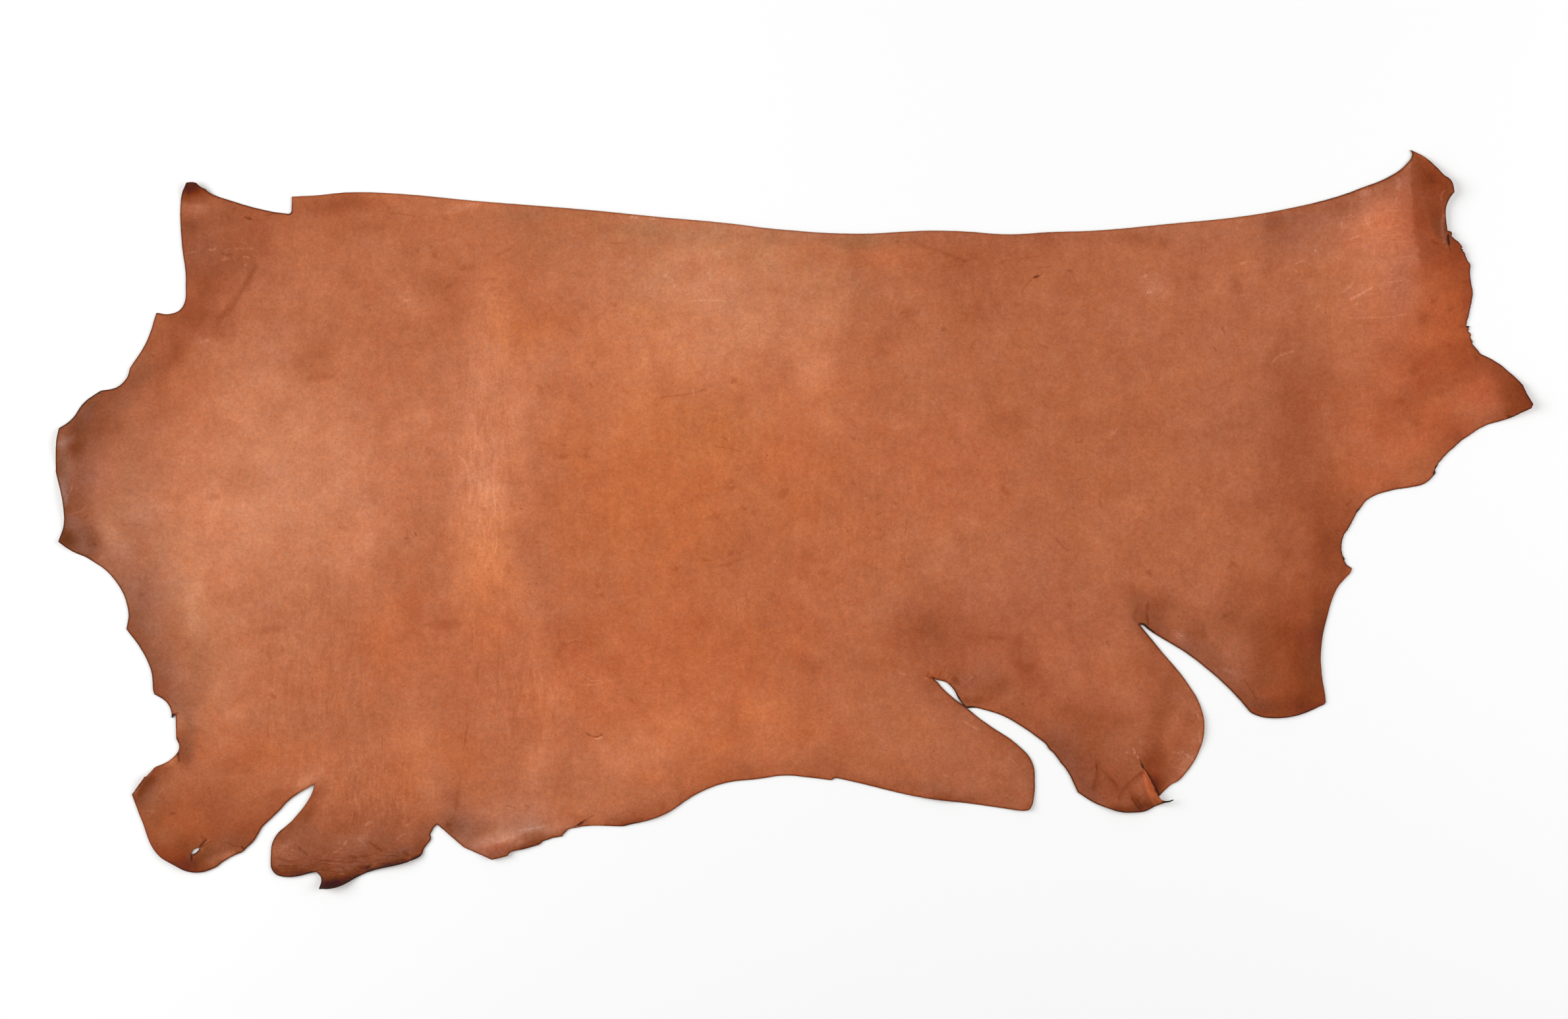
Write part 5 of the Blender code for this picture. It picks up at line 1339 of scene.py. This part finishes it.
leatherLook = dict(
    seen=(0.473, 0.144, 0.062),        # linear colour of the plain tan under the lamps
    swing=(0.65, 1.0, 1.3),            # how fast each channel follows the tone
    deepSwing=(0.95, 1.0, 1.0),        # and how fast it follows where the tone is under the knee
    knee=-1.7,
    glow=1.13,                         # how much light the lamps throw on it
    sheen=0.0125,                      # and how much they add as gloss
    darkest=-4.0,
    lightest=1.2,
    stops=19,
    # clouds: amount, size in mm, detail, roughness
    broad=(0.12, 120, 1.0, 0.5), blotches=(1.1, 60, 4.0, 0.9), streaks=(0.3, 16, 3.0, 0.7),
    pores=(1.5, 5, 3.0, 0.95), hazeBlotches=(1.6, 70, 4.0, 0.85), hazePores=(2.6, 8, 4.0, 0.85),
    blushStreaks=(1.2, 9, 3.0, 0.85), gloss=(0.25, 20, 3.0, 0.5), relief=(0.25, 9, 3.0, 0.5),
    fineRelief=(0.12, 1.6, 2.0, 0.5),
    # wrinkles along the hide and across it: how strong their folds are, then the painted shade of their
    # sharp lines
    alongFolds=(3.0, 3.4, 3.0, 0.7), alongCreaseShade=9.0,
    acrossFolds=(2.2, 6.0, 4.0, 0.7), acrossCreaseShade=5.0,
    wrinkleRelief=0.5,
    # strokes, specks and pits: how far each moves the tone, and the near black of the darkest strokes,
    # painted shadow in slits, nicks, the hole and along the cut edge, and a few dark specks
    pale=1.2, dark=1.5, paleRelief=0.3, specks=4.0, flecks=26.0, edgeAndShadeInk=(0.018, 0.006, 0.002, 1),
    roughness=0.58,
    bump=dict(Strength=0.6, Distance=0.0008))


def tanStops(look):
    stops = []
    for index in range(look["stops"]):
        share = index / (look["stops"] - 1)
        tone = look["darkest"] + share * (look["lightest"] - look["darkest"])
        upper, lower = max(tone, look["knee"]), min(0.0, tone - look["knee"])
        seen = [channel * 2 ** (upper * swing + lower * deep)
                for channel, swing, deep in zip(look["seen"], look["swing"], look["deepSwing"])]
        bare = [max(0.001, (channel - look["sheen"]) / look["glow"]) for channel in seen]
        stops.append((share, bare + [1]))
    return stops


def makeGrain(look):
    grain = Finish("tanGrain", Specular_IOR_Level=0.18)

    def cloudy(name, place=None):
        amount, size, detail, rough = look[name]
        return amount * grain.clouds(size, detail, rough, place)

    shifted = grain.moved("ADD", grain.place, (5.3, 2.7, 1.9))       # so that these clouds fall elsewhere
    upright = grain.stretched(grain.place, (1.0, 0.28, 1.0))
    tone = grain.painted("tone") + cloudy("broad") + cloudy("blotches")
    tone = tone + cloudy("streaks", upright) + cloudy("pores")

    # folds run along or across the hide, and wander a little; their light and dark tone is painted light
    # and shade, beside their bump
    warp = grain.node("ShaderNodeTexNoise", dict(noise_dimensions="3D"), {
        "Vector": grain.place, "Scale": 25.0, "Detail": 1.0}).outputs["Color"]
    bent = grain.moved("MULTIPLY_ADD", warp, (0.014, 0.014, 0.0), grain.place)
    alongIt = grain.stretched(bent, (0.16, 1.0, 1.0))
    acrossIt = grain.stretched(bent, (1.0, 0.16, 1.0))
    crinkle = grain.painted("crinkle")
    alongCreaseShade = (0.045 - abs(grain.clouds(4.4, 3.0, 0.65, alongIt))).above(0.0)
    acrossCreaseShade = (0.04 - abs(grain.clouds(14.0, 3.0, 0.6, acrossIt))).above(0.0)
    wrinkles = crinkle.above(0.0) * (cloudy("alongFolds", alongIt) - look["alongCreaseShade"] * alongCreaseShade)
    wrinkles = wrinkles + (-crinkle).above(0.0) * (
        cloudy("acrossFolds", acrossIt) - look["acrossCreaseShade"] * acrossCreaseShade)
    tone = tone + wrinkles

    # the strokes break up as they get fainter, and the scuffs are specks alone
    breaks = grain.clouds(2.5, 3.0, 0.7)
    mark = grain.painted("mark")
    pale = mark.above(0.0) * (1.0 + 4.5 * breaks).above(0.0)
    dark = (-mark).above(0.0) * (1.0 + 5.0 * (1.0 + mark).above(0.0) * breaks).above(0.0)
    specks = grain.painted("scuff") * (grain.clouds(2.6, 2.0, 0.7, shifted) - 0.06).above(0.0)
    pale = pale + look["specks"] * specks
    tone = tone + look["pale"] * pale - look["dark"] * dark
    flecks = (grain.clouds(3.4, 2.0, 0.6) - 0.13).above(0.0) * (grain.clouds(45, 2.0) + 0.1).above(0.0)
    tone = tone - look["flecks"] * flecks
    share = (tone - look["darkest"]) / (look["lightest"] - look["darkest"])
    colour = grain.node("ShaderNodeValToRGB", dict(stops=tanStops(look)), {"Fac": share}).outputs["Color"]

    haze = grain.painted("haze") + cloudy("hazeBlotches", shifted)
    haze = haze + cloudy("hazePores", shifted)
    haze = (haze + 0.8 * pale).above(-2.5).below(2.5)
    blush = grain.painted("blush") + cloudy("blushStreaks", upright)
    tint = grain.node("ShaderNodeCombineXYZ", None, {
        "X": 2 ** (0.2 * blush - 0.15 * haze), "Y": 1.0, "Z": 2 ** (0.36 * haze)}).outputs["Vector"]
    colour = grain.moved("MULTIPLY", colour, tint)
    # the darkest strokes go over to near black: painted shadow in slits, nicks and the hole and along the
    # cut edge
    colour = grain.mixed((1.4 * dark - 0.7).above(0.0).below(1.0), colour, look["edgeAndShadeInk"])
    grain.feed("Base Color", colour)
    grain.feed("Roughness", look["roughness"] + cloudy("gloss") + 0.1 * haze.above(0.0).below(1.0))
    height = cloudy("relief") + cloudy("fineRelief")
    height = height + look["wrinkleRelief"] * wrinkles - look["paleRelief"] * pale
    bump = grain.node("ShaderNodeBump", None, {**look["bump"], "Height": height})
    grain.feed("Normal", bump.outputs["Normal"])
    return grain.material


# the cut edge's dark olive brown is partly its own colour and partly painted shade, for the shadowed gap
# beneath it
cutLook = dict(deep=(0.11, 0.07, 0.035, 1), light=(0.22, 0.15, 0.08, 1), size=3, swing=2)
fleshLook = dict(deep=(0.33, 0.15, 0.07, 1), light=(0.45, 0.23, 0.12, 1), size=40, swing=1.5)


def makeCut(look):
    cut = Finish("rawCut", Roughness=0.8, Specular_IOR_Level=0.25)
    share = 0.5 + look["swing"] * cut.clouds(look["size"], 3.0)
    cut.feed("Base Color", cut.mixed(share, look["deep"], look["light"]))
    return cut.material


def makeFlesh(look):
    flesh = Finish("suedeFlesh", Roughness=0.92, Specular_IOR_Level=0.2)
    share = 0.5 + look["swing"] * flesh.clouds(look["size"], 5.0, 0.6)
    flesh.feed("Base Color", flesh.mixed(share, look["deep"], look["light"]))
    return flesh.material


for finish in (makeGrain(leatherLook), makeCut(cutLook), makeFlesh(fleshLook)):
    sheet.data.materials.append(finish)
report("finishes made")

studio = dict(
    middle=(-17.6, 16.8),    # what the camera is over, in mm
    across=2618.0,           # width of the picture on the floor, in mm
    lens=70.0,
    clipEnd=60,
    floorSize=15,            # half the floor's side, in metres
    floorDrop=0.0006,        # how far under the hide it lies, in metres
    floorColour=(0.86, 0.86, 0.86, 1),
    skyLight=0.40)

floorMesh = bpy.data.meshes.new("floor")
plane = bmesh.new()
bmesh.ops.create_grid(plane, x_segments=1, y_segments=1, size=studio["floorSize"])
plane.to_mesh(floorMesh)
plane.free()
floor = bpy.data.objects.new("floor", floorMesh)
floor.location.z = -studio["floorDrop"]
floor.data.materials.append(Finish("paleFloor", Base_Color=studio["floorColour"], Roughness=0.9).material)
bpy.context.scene.collection.objects.link(floor)

cameraData = bpy.data.cameras.new("overhead")
cameraData.lens = studio["lens"]
cameraData.clip_end = studio["clipEnd"]
camera = bpy.data.objects.new("overhead", cameraData)
rise = studio["across"] * mm * studio["lens"] / cameraData.sensor_width
camera.location = (studio["middle"][0] * mm, studio["middle"][1] * mm, rise)
bpy.context.scene.collection.objects.link(camera)
bpy.context.scene.camera = camera

softLights = (
    # name, x, y, z, width, depth, power: all in metres and watts
    ("leftSoftbox", -4.6, 0.9, 3.9, 3.6, 4.6, 285),
    ("rightSoftbox", 4.6, 0.5, 3.9, 3.6, 4.6, 200))
for name, x, y, z, wide, deep, power in softLights:
    lampData = bpy.data.lights.new(name, "AREA")
    lampData.shape = "RECTANGLE"
    lampData.size = wide
    lampData.size_y = deep
    lampData.energy = power
    lamp = bpy.data.objects.new(name, lampData)
    lamp.location = (x, y, z)
    lamp.rotation_euler = (-lamp.location).to_track_quat("-Z", "Y").to_euler()
    bpy.context.scene.collection.objects.link(lamp)

world = bpy.data.worlds.new("studio")
world.use_nodes = True
sky = world.node_tree.nodes["Background"]
sky.inputs["Color"].default_value = (1, 1, 1, 1)
sky.inputs["Strength"].default_value = studio["skyLight"]
bpy.context.scene.world = world
bpy.context.scene.view_settings.view_transform = "Standard"
report("floor, lights and camera placed")

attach(sheet, "root")
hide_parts("hide")
